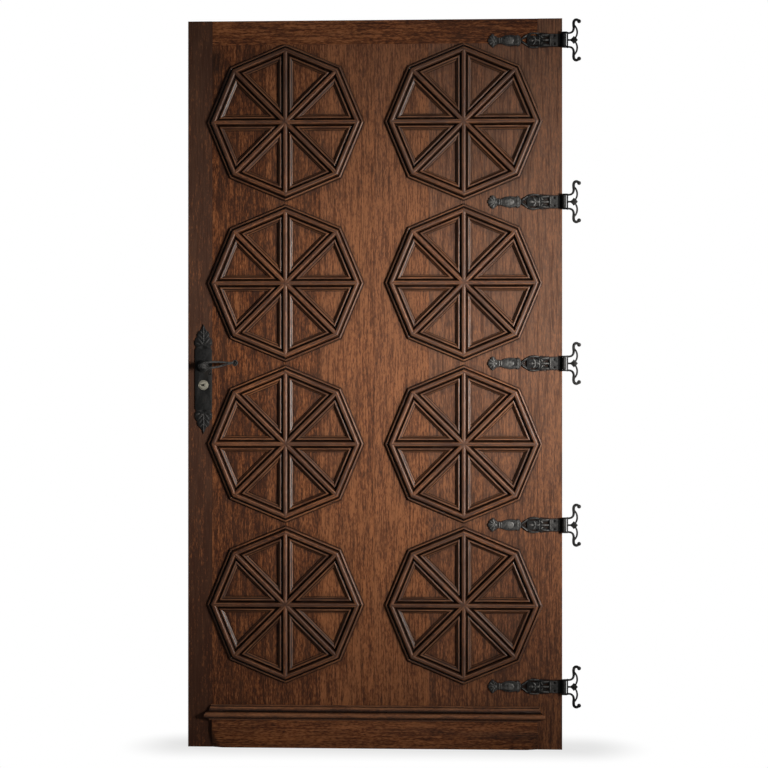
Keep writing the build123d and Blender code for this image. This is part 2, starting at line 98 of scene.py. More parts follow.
# Painted shadow and stain that the straps leave: distance from the leaf's edge and half its height there.
LOWEST_HINGE = middle_of("strap_1").z
STRAP_REACH = 215
SHADOW_AND_STAIN_PROFILE = [
    (0, 17.5), (35, 17.5), (62, 20.5), (65, 18), (82, 22.5), (97, 19), (118, 4.5), (122, 13), (128, 16),
    (131, 13), (150, 15.5), (174, 8.5), (187, 9), (194, 15), (200, 19), (209, 10), (213.5, 0),
]
SHADOW_AND_STAIN_SPREAD, SHADOW_AND_STAIN_SHARE = 4.5 * MM, 0.9
DARK_WOOD = (0.034, 0.0088, 0.0022)
BODY_WOOD = (0.142, 0.0425, 0.0115)
PALE_WOOD = (0.260, 0.094, 0.032)
GREY_WOOD = (0.105, 0.047, 0.022)
SHEEN_WOOD = (0.150, 0.085, 0.057)
# Pale of painted highlight with wear, and near-black of painted shade with dirt.
RUBBED_AND_HIGHLIT_WOOD = (0.360, 0.150, 0.060)
SHADE_AND_DIRT = (0.0045, 0.0020, 0.0010)
# Grain: repeats in a metre across, through and along the board, what each adds to the colour, and
# the offset that brings their sum to the middle of the three colours.
BAND, STREAK, LINE = (24, 24, 3), (90, 90, 8), (230, 230, 12)
FLECK, FIBRE, PORE = (330, 330, 85), (620, 620, 60), (1000, 1000, 45)
PATINA, GREYING = (14, 14, 9), (60, 60, 7)
STREAK_SHARE, FLECK_SHARE, FIBRE_SHARE, TONE_SHARE = 0.8, 2.6, 0.5, 0.55
GRAIN_OFFSET = 2.725
GREY_SHARE, DARK_SHARE, PORE_SHARE, WEAR_AND_HIGHLIGHT_SHARE = 0.12, 0.45, 0.55, 0.5
# The painted sheen grows with the height above the floor between these two, from a share of it at the foot.
SHEEN_RISE = (0.3, 1.3)
SHEEN_AT_FOOT = 0.3
OILED_ROUGH, SHADE_AND_DIRT_GLOSS, WEAR_AND_HIGHLIGHT_GLOSS = 0.62, 0.34, 0.05
chance = random.Random(11)


class Shade:
    """A socket of a material's node tree that takes plain arithmetic."""

    def __init__(self, tree, socket=None):
        self.tree = tree
        self.socket = socket

    def node(self, kind, settings, sockets, out=0):
        """Adds a node of any type: its settings first, then the values or links of its sockets."""
        made = self.tree.nodes.new("ShaderNode" + kind)
        for name, value in settings.items():
            if name == "stops":
                stops = made.color_ramp.elements
                stops.remove(stops[1])
                stops[0].position = value[0][0]
                stops[0].color = (*value[0][1], 1)
                for place, colour in value[1:]:
                    stops.new(place).color = (*colour, 1)
            else:
                setattr(made, name, value)
        for name, value in sockets.items():
            if isinstance(value, Shade):
                self.tree.links.new(value.socket, made.inputs[name])
            else:
                made.inputs[name].default_value = value
        return Shade(self.tree, made.outputs[out])

    def maths(self, operation, first, second=0.0):
        """Adds a Math node of any operation."""
        return self.node("Math", {"operation": operation}, {0: first, 1: second})

    def __add__(self, other):
        return self.maths("ADD", self, other)

    def __radd__(self, other):
        return self.maths("ADD", other, self)

    def __sub__(self, other):
        return self.maths("SUBTRACT", self, other)

    def __rsub__(self, other):
        return self.maths("SUBTRACT", other, self)

    def __mul__(self, other):
        return self.maths("MULTIPLY", self, other)


def rise(value, low, high):
    """Smooth step from 0 at low to 1 at high."""
    limits = {"Value": value, "From Min": low, "From Max": high}
    return value.node("MapRange", {"interpolation_type": "SMOOTHSTEP"}, limits)


def mottle(vector, stretch, detail, seed=0.0):
    """Noise over a vector that is first stretched along its axes."""
    stretched = vector.node("VectorMath", {"operation": "MULTIPLY"}, {0: vector, 1: stretch})
    sockets = {"Vector": stretched, "W": seed, "Scale": 1.0, "Detail": detail, "Roughness": 0.6}
    return vector.node("TexNoise", {"noise_dimensions": "4D"}, sockets)


def tint(base, colour, share):
    """Base colour turned towards another by a share from 0 to 1."""
    return share.node("Mix", {"data_type": "RGBA"}, {0: share, 6: base, 7: (*colour, 1)}, 2)


def parts_of(vector):
    """The three numbers of a vector."""
    split = vector.node("SeparateXYZ", {}, {0: vector})
    return [Shade(vector.tree, out) for out in split.socket.node.outputs]


def attribute(root, name):
    """A number kept on the piece's own vertices."""
    return root.node("Attribute", {"attribute_name": name}, {}, "Fac")


def surface(name, build):
    """Material whose Principled sockets come from what build returns."""
    material = bpy.data.materials.new(name)
    material.use_nodes = True
    principled = material.node_tree.nodes["Principled BSDF"]
    for socket, value in build(Shade(material.node_tree)).items():
        if isinstance(value, Shade):
            material.node_tree.links.new(value.socket, principled.inputs[socket])
        else:
            principled.inputs[socket].default_value = value
    return material


def wood(root, grain, dirt=None, worn=None):
    """Oiled hardwood with its grain along the vector's third axis."""
    seed = attribute(root, "seed")
    band = mottle(grain, BAND, 3.0, seed)
    streak = mottle(grain, STREAK, 2.0, seed)
    line = mottle(grain, LINE, 2.0, seed)
    fleck = mottle(grain, FLECK, 3.0, seed + 3.0)
    fibre = mottle(grain, FIBRE, 2.0, seed)
    pore = rise(mottle(grain, PORE, 1.0, seed), 0.58, 0.70)
    patina = rise(mottle(grain, PATINA, 3.0, seed + 5.0), 0.42, 0.64)
    grey = rise(mottle(grain, GREYING, 3.0, seed + 9.0), 0.42, 0.62)
    dark = 1 - rise(line, 0.36, 0.53)
    level = band + streak * STREAK_SHARE + line + fleck * FLECK_SHARE + fibre * FIBRE_SHARE
    level = level + attribute(root, "tone") * TONE_SHARE - GRAIN_OFFSET
    stops = {"stops": [(0.1, DARK_WOOD), (0.5, BODY_WOOD), (0.9, PALE_WOOD)]}
    colour = root.node("ValToRGB", stops, {"Fac": level})
    colour = tint(colour, GREY_WOOD, patina * GREY_SHARE + grey * GREY_SHARE)
    # A painted sheen on the pieces marked for it, growing with the height above the floor.
    above_floor = parts_of(root.node("TexCoord", {}, {}, "Object"))[2]
    higher = rise(above_floor, *SHEEN_RISE)
    faded = attribute(root, "faded") * (SHEEN_AT_FOOT + higher * (1 - SHEEN_AT_FOOT))
    colour = tint(colour, SHEEN_WOOD, faded)
    colour = tint(colour, DARK_WOOD, dark * DARK_SHARE)
    colour = tint(colour, DARK_WOOD, pore * PORE_SHARE)
    height = fibre * 0.5 + line + fleck * 0.5 - pore * 0.8
    rough = OILED_ROUGH + line * 0.12 + patina * 0.08
    # A painted highlight with wear lightens the crests, and painted shade with dirt darkens the hollows.
    if worn:
        colour = tint(colour, RUBBED_AND_HIGHLIT_WOOD, worn * WEAR_AND_HIGHLIGHT_SHARE)
        rough = rough - worn * WEAR_AND_HIGHLIGHT_GLOSS
    if dirt:
        colour = tint(colour, SHADE_AND_DIRT, dirt)
        rough = rough - dirt * SHADE_AND_DIRT_GLOSS
    bump = root.node("Bump", {}, {"Strength": 0.4, "Distance": 0.6 * MM, "Height": height}, "Normal")
    return {"Base Color": colour, "Roughness": rough, "Normal": bump, "Specular IOR Level": 0.22}


def strap_shadow_and_stain(x, y, z):
    """Painted shadow, with soot and rust stain, in the wood under each strap and just round it."""
    reach = RIGHT - x
    hinge = x.maths("ROUND", (z - LOWEST_HINGE) * (1 / OCTAGON_PITCH))
    off = x.maths("ABSOLUTE", z - LOWEST_HINGE - hinge * OCTAGON_PITCH)
    stops = [(at / STRAP_REACH, (half / STRAP_REACH,) * 3) for at, half in SHADOW_AND_STAIN_PROFILE]
    share = reach * (1 / (STRAP_REACH * MM))
    half = x.node("ValToRGB", {"stops": stops}, {"Fac": share}) * (STRAP_REACH * MM)
    near = 1 - rise(reach, (STRAP_REACH - 2) * MM, STRAP_REACH * MM)
    on_front = 1 - rise(y, FRONT + ARRIS, FRONT + 2 * ARRIS)
    return (1 - rise(off - half, 0.0, SHADOW_AND_STAIN_SPREAD)) * near * on_front * SHADOW_AND_STAIN_SHARE


def planks(root):
    """Upright grain; painted shade and dirt darken the corner between the field and the foot of each octagon.
    """
    place = root.node("TexCoord", {}, {}, "Object")
    x, y, z = parts_of(place)
    middle = (LEFT_OCTAGON + RIGHT_OCTAGON) / 2
    side = root.maths("ABSOLUTE", x - middle) - (RIGHT_OCTAGON - LEFT_OCTAGON) / 2
    row = root.maths("ROUND", (z - LOWEST_OCTAGON) * (1 / OCTAGON_PITCH))
    row = root.maths("MINIMUM", root.maths("MAXIMUM", row, 0.0), OCTAGON_ROWS - 1.0)
    up = z - LOWEST_OCTAGON - row * OCTAGON_PITCH
    reach = root.maths("SQRT", side * side + up * up)
    turn = root.maths("PINGPONG", root.maths("ARCTAN2", up, side), HALF_TURN)
    from_spoke = reach * root.maths("SINE", turn) - STICK_FOOT
    from_frame = reach * root.maths("COSINE", HALF_TURN - turn) - APOTHEM
    inside = root.maths("MINIMUM", from_spoke, -STICK_FOOT - from_frame)
    clear = root.maths("MAXIMUM", inside, from_frame - FRAME_FOOT)
    # Painted shade with some dirt: a dark line at the foot of each octagon and a wider halo round it.
    dirt = (1 - rise(clear, 0.0, SHADE_AND_DIRT_LINE)) * SHADE_AND_DIRT_LINE_SHARE
    dirt = dirt + (1 - rise(clear, 0.0, SHADE_AND_DIRT_HALO)) * SHADE_AND_DIRT_HALO_SHARE
    across = (x - SMUDGE_AT[0]) * (1 / SMUDGE_SIZE[0])
    along = (z - SMUDGE_AT[1]) * (1 / SMUDGE_SIZE[1])
    smudge = (1 - rise(across * across + along * along, *SMUDGE_EDGE)) * SMUDGE_SHARE
    on_front = 1 - rise(y, FRONT + ARRIS, FRONT + 2 * ARRIS)
    dirt = root.maths("MAXIMUM", dirt, smudge) * on_front
    return wood(root, place, root.maths("MAXIMUM", dirt, strap_shadow_and_stain(x, y, z)))


def from_node(name):
    """A CAD node's shape, with its triangles merged into whole faces."""
    bm = bmesh.new()
    bm.from_mesh(nodes[name].data)
    bmesh.ops.remove_doubles(bm, verts=bm.verts, dist=0.001 * MM)
    bmesh.ops.dissolve_limit(bm, angle_limit=radians(1), verts=bm.verts, edges=bm.edges)
    return bm


def ease(bm, width, segments, wanted=lambda edge: True):
    """Rounds the sharp edges that are wanted."""
    edges = [e for e in bm.edges if len(e.link_faces) == 2 and e.calc_face_angle() > SHARP and wanted(e)]
    bmesh.ops.bevel(
        bm, geom=edges, offset=width, offset_type="OFFSET", segments=segments, profile=0.5,
        affect="EDGES", material=-1, clamp_overlap=True,
    )


def on_faces(edge):
    """True for an edge along the front or back face of the leaf."""
    return all(v.co.y < FRONT + ARRIS or v.co.y > BACK - ARRIS for v in edge.verts)


def mark(bm, **values):
    """Keeps numbers on all the vertices."""
    for name, value in values.items():
        layer = bm.verts.layers.float.get(name) or bm.verts.layers.float.new(name)
        for v in bm.verts:
            v[layer] = value


def piece(bm, name, material, smooth=SMOOTH):
    """Object from a finished bmesh."""
    mesh = bpy.data.meshes.new(name)
    bm.to_mesh(mesh)
    bm.free()
    mesh.materials.append(material)
    mesh.shade_smooth()
    mesh.set_sharp_from_angle(angle=smooth)
    made = bpy.data.objects.new(name, mesh)
    bpy.context.scene.collection.objects.link(made)
    return made


plank_wood = surface("oiled_planks", planks)
for i, (tone, faded) in enumerate(zip(PLANK_TONES, PLANK_SHEEN), start=1):
    board = from_node(f"field_board_{i}")
    ease(board, ARRIS, 1, on_faces)
    mark(board, seed=chance.uniform(0, BOARD_SEEDS), tone=tone, faded=faded)
    plank = piece(board, f"plank_{i}", plank_wood)
    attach(plank, "door_leaf")
    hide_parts(f"field_board_{i}")

# The two stiles run the full height, with the grain upright and the arrises rubbed soft. The lock
# stile is toned darker, and the hinge stile carries a painted sheen like the planks beside it.
STILE_ARRIS = 0.9 * MM
LONG_EDGE = 1.0
FLAT = radians(20)
# Tone and painted sheen of each.
STILE_LOOKS = {"lock_stile": (-0.40, 0.18), "hinge_stile": (0.38, 0.54)}


def upright(root):
    """Grain along the stile, with painted shadow and stain under the hinges."""
    place = root.node("TexCoord", {}, {}, "Object")
    return wood(root, place, strap_shadow_and_stain(*parts_of(place)))


stile_wood = surface("oiled_stiles", upright)
for name, (tone, faded) in STILE_LOOKS.items():
    stile = from_node(name)
    ease(stile, STILE_ARRIS, 2, lambda e: on_faces(e) and e.calc_length() > LONG_EDGE)
    mark(stile, seed=chance.uniform(0, BOARD_SEEDS), tone=tone, faded=faded)
    dressed = piece(stile, name.replace("stile", "side_stile"), stile_wood, FLAT)
    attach(dressed, "door_leaf")
    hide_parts(name)

# The top rail and the kick rail are tenoned between the stiles, with the grain lying level.
# The kick rail is thicker, stands proud of the stiles and has its lower corners cut away.
RAIL_ARRIS = 1.2 * MM
RAIL_TONES = {"top_rail": 0.42, "kick_rail": 0.66}
# Painted shade on the cut corners of the kick rail: the slant of their faces and its strength.
CORNER_SLANT, CORNER_SHADE_SHARE = (0.15, 0.3), 0.6


def level_grain(root):
    """Grain along the rail, on the object's X, with painted shade on the cut corners."""
    x, y, z = parts_of(root.node("TexCoord", {}, {}, "Object"))
    side, front = parts_of(root.node("TexCoord", {}, {}, "Normal"))[:2]
    # Painted shade on the faces of the cut corners.
    cut = rise(root.maths("ABSOLUTE", side * front), *CORNER_SLANT)
    return wood(root, root.node("CombineXYZ", {}, {0: z, 1: y, 2: x}), cut * CORNER_SHADE_SHARE)


rail_wood = surface("oiled_rails", level_grain)
for name, tone in RAIL_TONES.items():
    rail = from_node(name)
    ease(rail, RAIL_ARRIS, 2, on_faces)
    mark(rail, seed=chance.uniform(0, BOARD_SEEDS), tone=tone)
    dressed = piece(rail, name.replace("rail", "cross_rail"), rail_wood, FLAT)
    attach(dressed, "door_leaf")
    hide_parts(name)

# Each octagon is planted from eight frame sticks and eight spokes, run from one moulding and
# mitred so that every bead meets its neighbour: a round bar between two deep quirks, a smaller
# bead falling to the panel inside, and a low bead outside. Painted shade and dirt darken the
# quirks, and a painted highlight with wear lightens the crests.
SPOKE_MITRE = (pi / 2 - HALF_TURN) / 2
VERTEX_REACH = APOTHEM / cos(HALF_TURN)
STICK_FIELDS = ("along", "across", "dirt", "worn")
STICK_SEEDS = 40
STICK_TONES = (-0.55, 0.05)
# Patches over which the painted shade with dirt and the painted highlight with wear vary.
STICK_PATCH = (30, 30, 12)
PATCH_WEAR_AND_HIGHLIGHT = (0.25, 0.7)
MOST_SHADE_AND_DIRT = 0.97
WAX_GLOSS = 0.14
# Number, middle and painted sheen of each column.
COLUMNS = ((1, LEFT_OCTAGON, 0.06), (2, RIGHT_OCTAGON, 0.18))
# Moulding points: across from the bar's middle, height above the field, painted shade with dirt, and wear
# with a painted highlight.
HALF_BAR = [
    (0.0, 16.0, 0.1, 0.0), (2.2, 15.8, 0.05, 0.3), (3.8, 15.2, 0.0, 1.0), (4.9, 14.2, 0.2, 0.3),
    (5.8, 12.6, 0.45, 0.0), (6.8, 10.4, 0.6, 0.0), (7.8, 8.2, 0.8, 0.0), (8.6, 6.3, 1.0, 0.0),
    (9.2, 5.3, 1.0, 0.0), (9.8, 5.4, 1.0, 0.0),
]
INNER_BEAD = [
    (10.2, 6.6, 1.0, 0.0), (11.0, 7.9, 0.8, 0.0), (12.4, 8.8, 0.35, 0.3), (13.9, 9.0, 0.0, 1.0),
    (15.3, 8.5, 0.2, 0.6), (17.0, 7.1, 0.6, 0.0), (18.9, 5.3, 0.65, 0.0), (20.6, 3.8, 0.2, 0.7),
    (21.5, 3.1, 0.05, 1.0), (21.9, 2.2, 0.9, 0.0), (22.0, 0.0, 1.0, 0.0),
]
OUTER_BEAD = [
    (10.2, 6.2, 1.0, 0.0), (11.2, 7.0, 0.7, 0.0), (12.6, 7.3, 0.15, 0.8), (14.0, 7.1, 0.0, 1.0),
    (15.4, 6.2, 0.25, 0.3), (16.5, 4.8, 0.6, 0.0), (17.2, 2.8, 0.95, 0.0), (17.5, 0.0, 1.0, 0.0),
]


def moulded(root):
    """Grain along each stick, painted shade and dirt in its quirks, painted highlight and wear on its crests.
    """
    grain = root.node("CombineXYZ", {}, {0: attribute(root, "across"), 2: attribute(root, "along")})
    patch = mottle(grain, STICK_PATCH, 2.0, attribute(root, "seed"))
    dirt = root.maths("MINIMUM", attribute(root, "dirt") * (0.75 + patch * 0.5), MOST_SHADE_AND_DIRT)
    worn = attribute(root, "worn") * rise(patch, *PATCH_WEAR_AND_HIGHLIGHT)
    looks = wood(root, grain, dirt, worn)
    looks["Roughness"] = looks["Roughness"] - WAX_GLOSS
    looks["Specular IOR Level"] = 0.5
    return looks


def closed_section(right, left):
    """Whole section: up the left side over the crest and down the right side."""
    mirrored = [(-across, *rest) for across, *rest in reversed(left)]
    return mirrored + right[1:]


def run(bm, section, start, end):
    """Prism of a section along the local X axis, its grain, painted shade and highlight kept on the vertices.
    """
    layers = [bm.verts.layers.float.get(f) or bm.verts.layers.float.new(f) for f in STICK_FIELDS]
    travelled = 0.0
    ring = []
    for i, (across, height, dirt, worn) in enumerate(section):
        if i:
            travelled += sqrt((across - section[i - 1][0]) ** 2 + (height - section[i - 1][1]) ** 2)
        v = bm.verts.new((start, across * MM, height * MM))
        for layer, value in zip(layers, (start, travelled * MM, dirt, worn)):
            v[layer] = value
        ring.append(v)
    near = bm.faces.new(ring)
    swept = bmesh.ops.extrude_face_region(bm, geom=[near], use_keep_orig=True)["geom"]
    far = [g for g in swept if isinstance(g, bmesh.types.BMVert)]
    bmesh.ops.translate(bm, verts=far, vec=(end - start, 0, 0))
    for v in far:
        v[layers[0]] = end
    bmesh.ops.recalc_face_normals(bm, faces=bm.faces)


def saw(bm, point, outward):
    """Saws off what lies outwards of a plane and closes the cut."""
    geom = bm.verts[:] + bm.edges[:] + bm.faces[:]
    cut = bmesh.ops.bisect_plane(bm, geom=geom, plane_co=point, plane_no=outward, clear_outer=True)
    edges = [g for g in cut["geom_cut"] if isinstance(g, bmesh.types.BMEdge)]
    bmesh.ops.edgeloop_fill(bm, edges=edges)


def frame_stick():
    """Stick of the rim, along X at the rim's distance, mitred to its neighbours and to two spokes."""
    bm = bmesh.new()
    section = closed_section(HALF_BAR + OUTER_BEAD, HALF_BAR + INNER_BEAD)
    run(bm, section, -VERTEX_REACH, VERTEX_REACH)
    bmesh.ops.translate(bm, verts=bm.verts, vec=(0, APOTHEM, 0))
    corner = APOTHEM * tan(HALF_TURN)
    for way in (1, -1):
        saw(bm, (way * corner, APOTHEM, 0), (way * cos(HALF_TURN), -sin(HALF_TURN), 0))
        saw(bm, (way * corner, APOTHEM, 0), (way * sin(SPOKE_MITRE), -cos(SPOKE_MITRE), 0))
    return bm


def spoke_stick():
    """Spoke along X from the middle to a corner of the rim, pointed at both ends."""
    bm = bmesh.new()
    run(bm, closed_section(HALF_BAR + INNER_BEAD, HALF_BAR + INNER_BEAD), 0, VERTEX_REACH)
    for way in (1, -1):
        saw(bm, (0, 0, 0), (-sin(HALF_TURN), way * cos(HALF_TURN), 0))
        saw(bm, (VERTEX_REACH, 0, 0), (sin(SPOKE_MITRE), way * cos(SPOKE_MITRE), 0))
    return bm


def add_mesh(bm, other, matrix=Matrix(), **values):
    """Adds another bmesh with its numbers, placed by a matrix, and gives it any further numbers."""
    for name in (*other.verts.layers.float.keys(), *values):
        if bm.verts.layers.float.get(name) is None:
            bm.verts.layers.float.new(name)
    carrier = bpy.data.meshes.new("carrier")
    other.to_mesh(carrier)
    before = len(bm.verts)
    bm.from_mesh(carrier)
    bpy.data.meshes.remove(carrier)
    added = bm.verts[:][before:]
    bmesh.ops.transform(bm, matrix=matrix, verts=added)
    for name, value in values.items():
        layer = bm.verts.layers.float.get(name)
        for v in added:
            v[layer] = value


moulding_wood = surface("oiled_mouldings", moulded)
rim_stick = frame_stick()
spoke = spoke_stick()
to_face = Matrix.Rotation(radians(90), 4, "X")
for row in range(1, OCTAGON_ROWS + 1):
    for column, x, faded in COLUMNS:
        z = LOWEST_OCTAGON + (OCTAGON_ROWS - row) * OCTAGON_PITCH
        octagon = bmesh.new()
        for side in range(SIDES):
            spoke_angle = side * 2 * HALF_TURN
            for stick, angle in ((rim_stick, spoke_angle + HALF_TURN - pi / 2), (spoke, spoke_angle)):
                place = Matrix.Translation((x, FRONT, z)) @ to_face @ Matrix.Rotation(angle, 4, "Z")
                looks = {"seed": chance.uniform(0, STICK_SEEDS), "tone": chance.uniform(*STICK_TONES)}
                add_mesh(octagon, stick, place, faded=faded, **looks)
        carved = piece(octagon, f"octagon_{row}_{column}", moulding_wood)
        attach(carved, "door_leaf")
        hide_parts(f"octagon_moulding_r{row}c{column}")

# The weather bar throws rain clear of the kick rail: a round nose under a hollow and two fillets,
# run along the foot of the field and returned on itself at both ends with mitres.
# Section points: how far it stands out of the leaf, height above its foot, painted shade with dirt, and wear
# with a painted highlight.
BAR_SECTION = [
    (0, 0, 1.0, 0.0), (10.6, 0, 1.0, 0.0), (11, 0.5, 0.2, 0.6), (11, 5.4, 0.6, 0.1),
    (12, 6, 1.0, 0.0), (16, 6.1, 1.0, 0.0), (19.2, 7.0, 0.9, 0.0), (21.8, 9.2, 0.6, 0.0),
    (23.3, 12.0, 0.2, 0.3), (23.5, 15.0, 0.0, 0.8), (23.0, 18.0, 0.0, 1.0), (21.2, 20.9, 0.0, 0.8),
    (18.6, 23.0, 0.3, 0.2), (15.6, 23.9, 0.9, 0.0), (14.2, 24.4, 1.0, 0.0), (11.8, 26.0, 1.0, 0.0),
    (10.0, 28.6, 0.8, 0.0), (8.9, 31.8, 0.3, 0.3), (8.4, 35.2, 0.0, 1.0), (8.2, 37.2, 0.0, 1.0),
    (7.4, 38.2, 0.5, 0.2), (6.2, 38.6, 1.0, 0.0), (6.0, 39.2, 0.8, 0.0), (5.9, 42.2, 0.0, 1.0),
    (5.2, 42.9, 0.1, 1.0), (0, 43, 0.9, 0.0),
]
BAR_SEED, RETURN_SEED = 3.0, 9.0
BAR_TONE = 0.4
bar_low, bar_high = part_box("weather_bar")
bar_middle = middle_of("weather_bar").x
bar_core = (bar_high.x - bar_low.x) / 2 - max(point[0] for point in BAR_SECTION) * MM
along_leaf = Matrix(((1, 0, 0, 0), (0, -1, 0, FRONT), (0, 0, 1, bar_low.z), (0, 0, 0, 1)))
bar = bmesh.new()
length = bmesh.new()
run(length, BAR_SECTION, bar_low.x, bar_high.x)
bmesh.ops.transform(length, matrix=along_leaf, verts=length.verts)
for way in (1, -1):
    saw(length, (bar_middle + way * bar_core, FRONT, 0), (way, 1, 0))
bmesh.ops.recalc_face_normals(length, faces=length.faces)
add_mesh(bar, length, seed=BAR_SEED, tone=BAR_TONE)
for way in (1, -1):
    end = bmesh.new()
    run(end, BAR_SECTION, 0, FRONT - bar_low.y)
    corner = bar_middle + way * bar_core
    out_of_leaf = Matrix(((0, way, 0, corner), (-1, 0, 0, FRONT), (0, 0, 1, bar_low.z), (0, 0, 0, 1)))
    bmesh.ops.transform(end, matrix=out_of_leaf, verts=end.verts)
    saw(end, (corner, FRONT, 0), (-way, -1, 0))
    bmesh.ops.recalc_face_normals(end, faces=end.faces)
    add_mesh(bar, end, seed=RETURN_SEED + way, tone=BAR_TONE)
drip = piece(bar, "weather_moulding", moulding_wood)
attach(drip, "door_leaf")
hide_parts("weather_bar")

# Each strap is forged from one bar: a rolled knuckle, a base plate held by two screws, a fleur and a
# heart cut through, a long oval with its own screw, and a palmette at the tip. The iron is blacked
# in the fire and hammered; it is paler where it is rubbed, with a painted highlight over the wear.
HINGES = 5
IRON_THICK = 4
IRON_SOFTEN = 0.9
KNUCKLE_AT = (518 * MM, -30.5 * MM)
KNUCKLE_STEPS = 28
# Painted shadow of the knuckle on the strap, up to this distance from the leaf's edge.
KNUCKLE_SHADOW_BAND = 12.5
PIERCED = (36, 119)
SHARP_POINT = True
TOLERANCE = 0.1
RELIEF_SUNK = 0.1
DARK_IRON = (0.010, 0.0102, 0.0106)
# Pale of rubbed iron with a painted highlight.
RUBBED_AND_LIT_IRON = (0.155, 0.152, 0.146)
RUSTY_IRON = (0.050, 0.036, 0.027)
# Near-black of painted shade on the iron.
SHADE_ON_IRON = (0.003, 0.003, 0.003)
# How far each part is rubbed and painted bright, and the painted shade on the sides, up to a share of the
# thickness.
STRAP_RUB_AND_LIGHT, PIERCED_RUB_AND_LIGHT, RELIEF_RUB_AND_LIGHT, KNUCKLE_RUB_AND_LIGHT = 0.42, 0.1, 1.0, 0.2
SHADE_ON_IRON_SHARE, SHADE_ON_IRON_UP_TO = 0.85, 0.62
# Outline of one half: distance from the leaf's edge and height above the middle line.
STRAP_TIP = (213, 0)
STRAP_HALF = [
    (212, 4.4), (208.6, 6.4, SHARP_POINT), (209.2, 10), (207, 12.8), (203.4, 13, SHARP_POINT),
    (203.6, 16.8), (199.6, 19), (195.6, 17.2), (194, 13.6, SHARP_POINT), (191, 12.8), (188.4, 10.8),
    (187, 9, SHARP_POINT), (174, 8.5, SHARP_POINT), (168, 11.8), (160, 14.5), (150, 15.5), (140, 15),
    (131, 13, SHARP_POINT), (128, 17, SHARP_POINT), (125.5, 14.2), (122, 13, SHARP_POINT),
    (118, 5, SHARP_POINT), (108, 11.4), (97, 19.2), (89, 22), (81, 22.5), (72, 21.2),
    (64, 17.5, SHARP_POINT), (62, 21, SHARP_POINT), (55, 18.2), (46, 17.4), (38, 17.6),
    (35, 17.5, SHARP_POINT), (-4.8, 17.5, SHARP_POINT),
]
FORK = [(115, 0, SHARP_POINT), (101, 10, SHARP_POINT), (101, -10, SHARP_POINT)]
CRESCENT = [
    (94, 13, SHARP_POINT), (87.5, 16.8), (80, 18), (72.5, 15), (68, 9, SHARP_POINT), (73, 12.6), (80, 13.5),
    (88, 13.2),
]
EYE = [(58, 4, SHARP_POINT), (38, 12, SHARP_POINT), (38, 4, SHARP_POINT)]
SCREW_HOLE = 3.3
SCREW_PLAY, SCREW_SUNK, SCREW_FOOT = 0.2, 0.7, 1.5
SCREW_STEPS = 16
# Screw heads: little rubbed and lit, darkened with painted shade.
SCREW_LOOKS = {"rubbed": 0.15, "soot": 0.3}
SCREW_SLOT, SCREW_LIP, SCREW_SLOT_DEPTH = 0.16, 1.25, 1.0
STRAP_SCREWS = [(141, 0), (22, 11.5), (22, -11.5)]
# Raised work: place along and across, half length, half width, height, turn in degrees.
STRAP_RELIEF = [
    (153, 0, 15, 11, 1.7, 0), (180.5, 0, 1.9, 9.2, 1.7, 0), (174.5, 0, 1.7, 9.0, 1.6, 0),
    (127.5, 0, 2.2, 14, 1.6, 0), (121.5, 0, 1.5, 9.5, 1.4, 0), (203, 0, 9, 2.7, 2.0, 0),
    (201, 5.6, 9, 2.6, 1.9, 34), (197, 10, 8, 2.5, 1.8, 66), (191, 0, 3.4, 5.0, 1.8, 0),
    (89, 0, 7.5, 4.0, 2.2, 0), (79.5, 6.6, 8.0, 3.0, 2.0, 58), (70.5, 0, 5.6, 3.6, 2.0, 0),
    (79.5, 0, 3.2, 3.2, 2.4, 0), (65.5, 0, 1.8, 14, 1.8, 0), (50, 0, 12, 3.0, 2.2, 0),
    (49, 14.6, 12, 2.3, 1.8, -6), (59, 9, 5.4, 2.4, 1.8, 48), (34, 0, 1.6, 16.5, 1.7, 0),
    (80, 20, 15, 1.7, 1.7, 0), (108, 10, 11, 2.0, 1.7, -36),
]
# Knuckle's section: distance from the pin's axis and height.
KNUCKLE_HALF = [
    (3.7, 18), (5.6, 18), (6.1, 17.7), (6.4, 17), (6.4, 15.6), (5.7, 15.1), (5.7, 14.5), (6.4, 14),
    (6.4, 5.4), (6.0, 5), (6.0, 4.6), (6.4, 4.2),
]


def iron(root):
    """Blacked, hammered iron: paler with wear and painted highlight, darker with painted shade."""
    place = root.node("TexCoord", {}, {}, "Object")
    dent = mottle(place, (150, 150, 150), 1.0)
    scale = mottle(place, (900, 900, 900), 2.0)
    cloud = mottle(place, (28, 28, 28), 3.0)
    soot = attribute(root, "soot")
    # Paler where rubbed and where a highlight is painted, broken up by the hammering.
    rubbed = attribute(root, "rubbed") * rise(dent * 0.5 + cloud * 0.4 + scale * 0.3, 0.36, 0.76)
    colour = root.node("ValToRGB", {"stops": [(0.0, DARK_IRON), (1.0, RUBBED_AND_LIT_IRON)]}, {"Fac": rubbed})
    colour = tint(colour, RUSTY_IRON, rise(cloud, 0.58, 0.80) * 0.35)
    # Painted shade on the sides, beside the knuckle, on the screws and in the scroll's middle.
    colour = tint(colour, SHADE_ON_IRON, soot)
    height = dent + scale * 0.25
    bump = root.node("Bump", {}, {"Strength": 0.5, "Distance": 0.9 * MM, "Height": height}, "Normal")
    rough = 0.42 + scale * 0.22 + cloud * 0.10 + soot * 0.30
    return {
        "Base Color": colour, "Roughness": rough, "Normal": bump, "Metallic": 0.65, "Specular IOR Level": 0.3,
    }


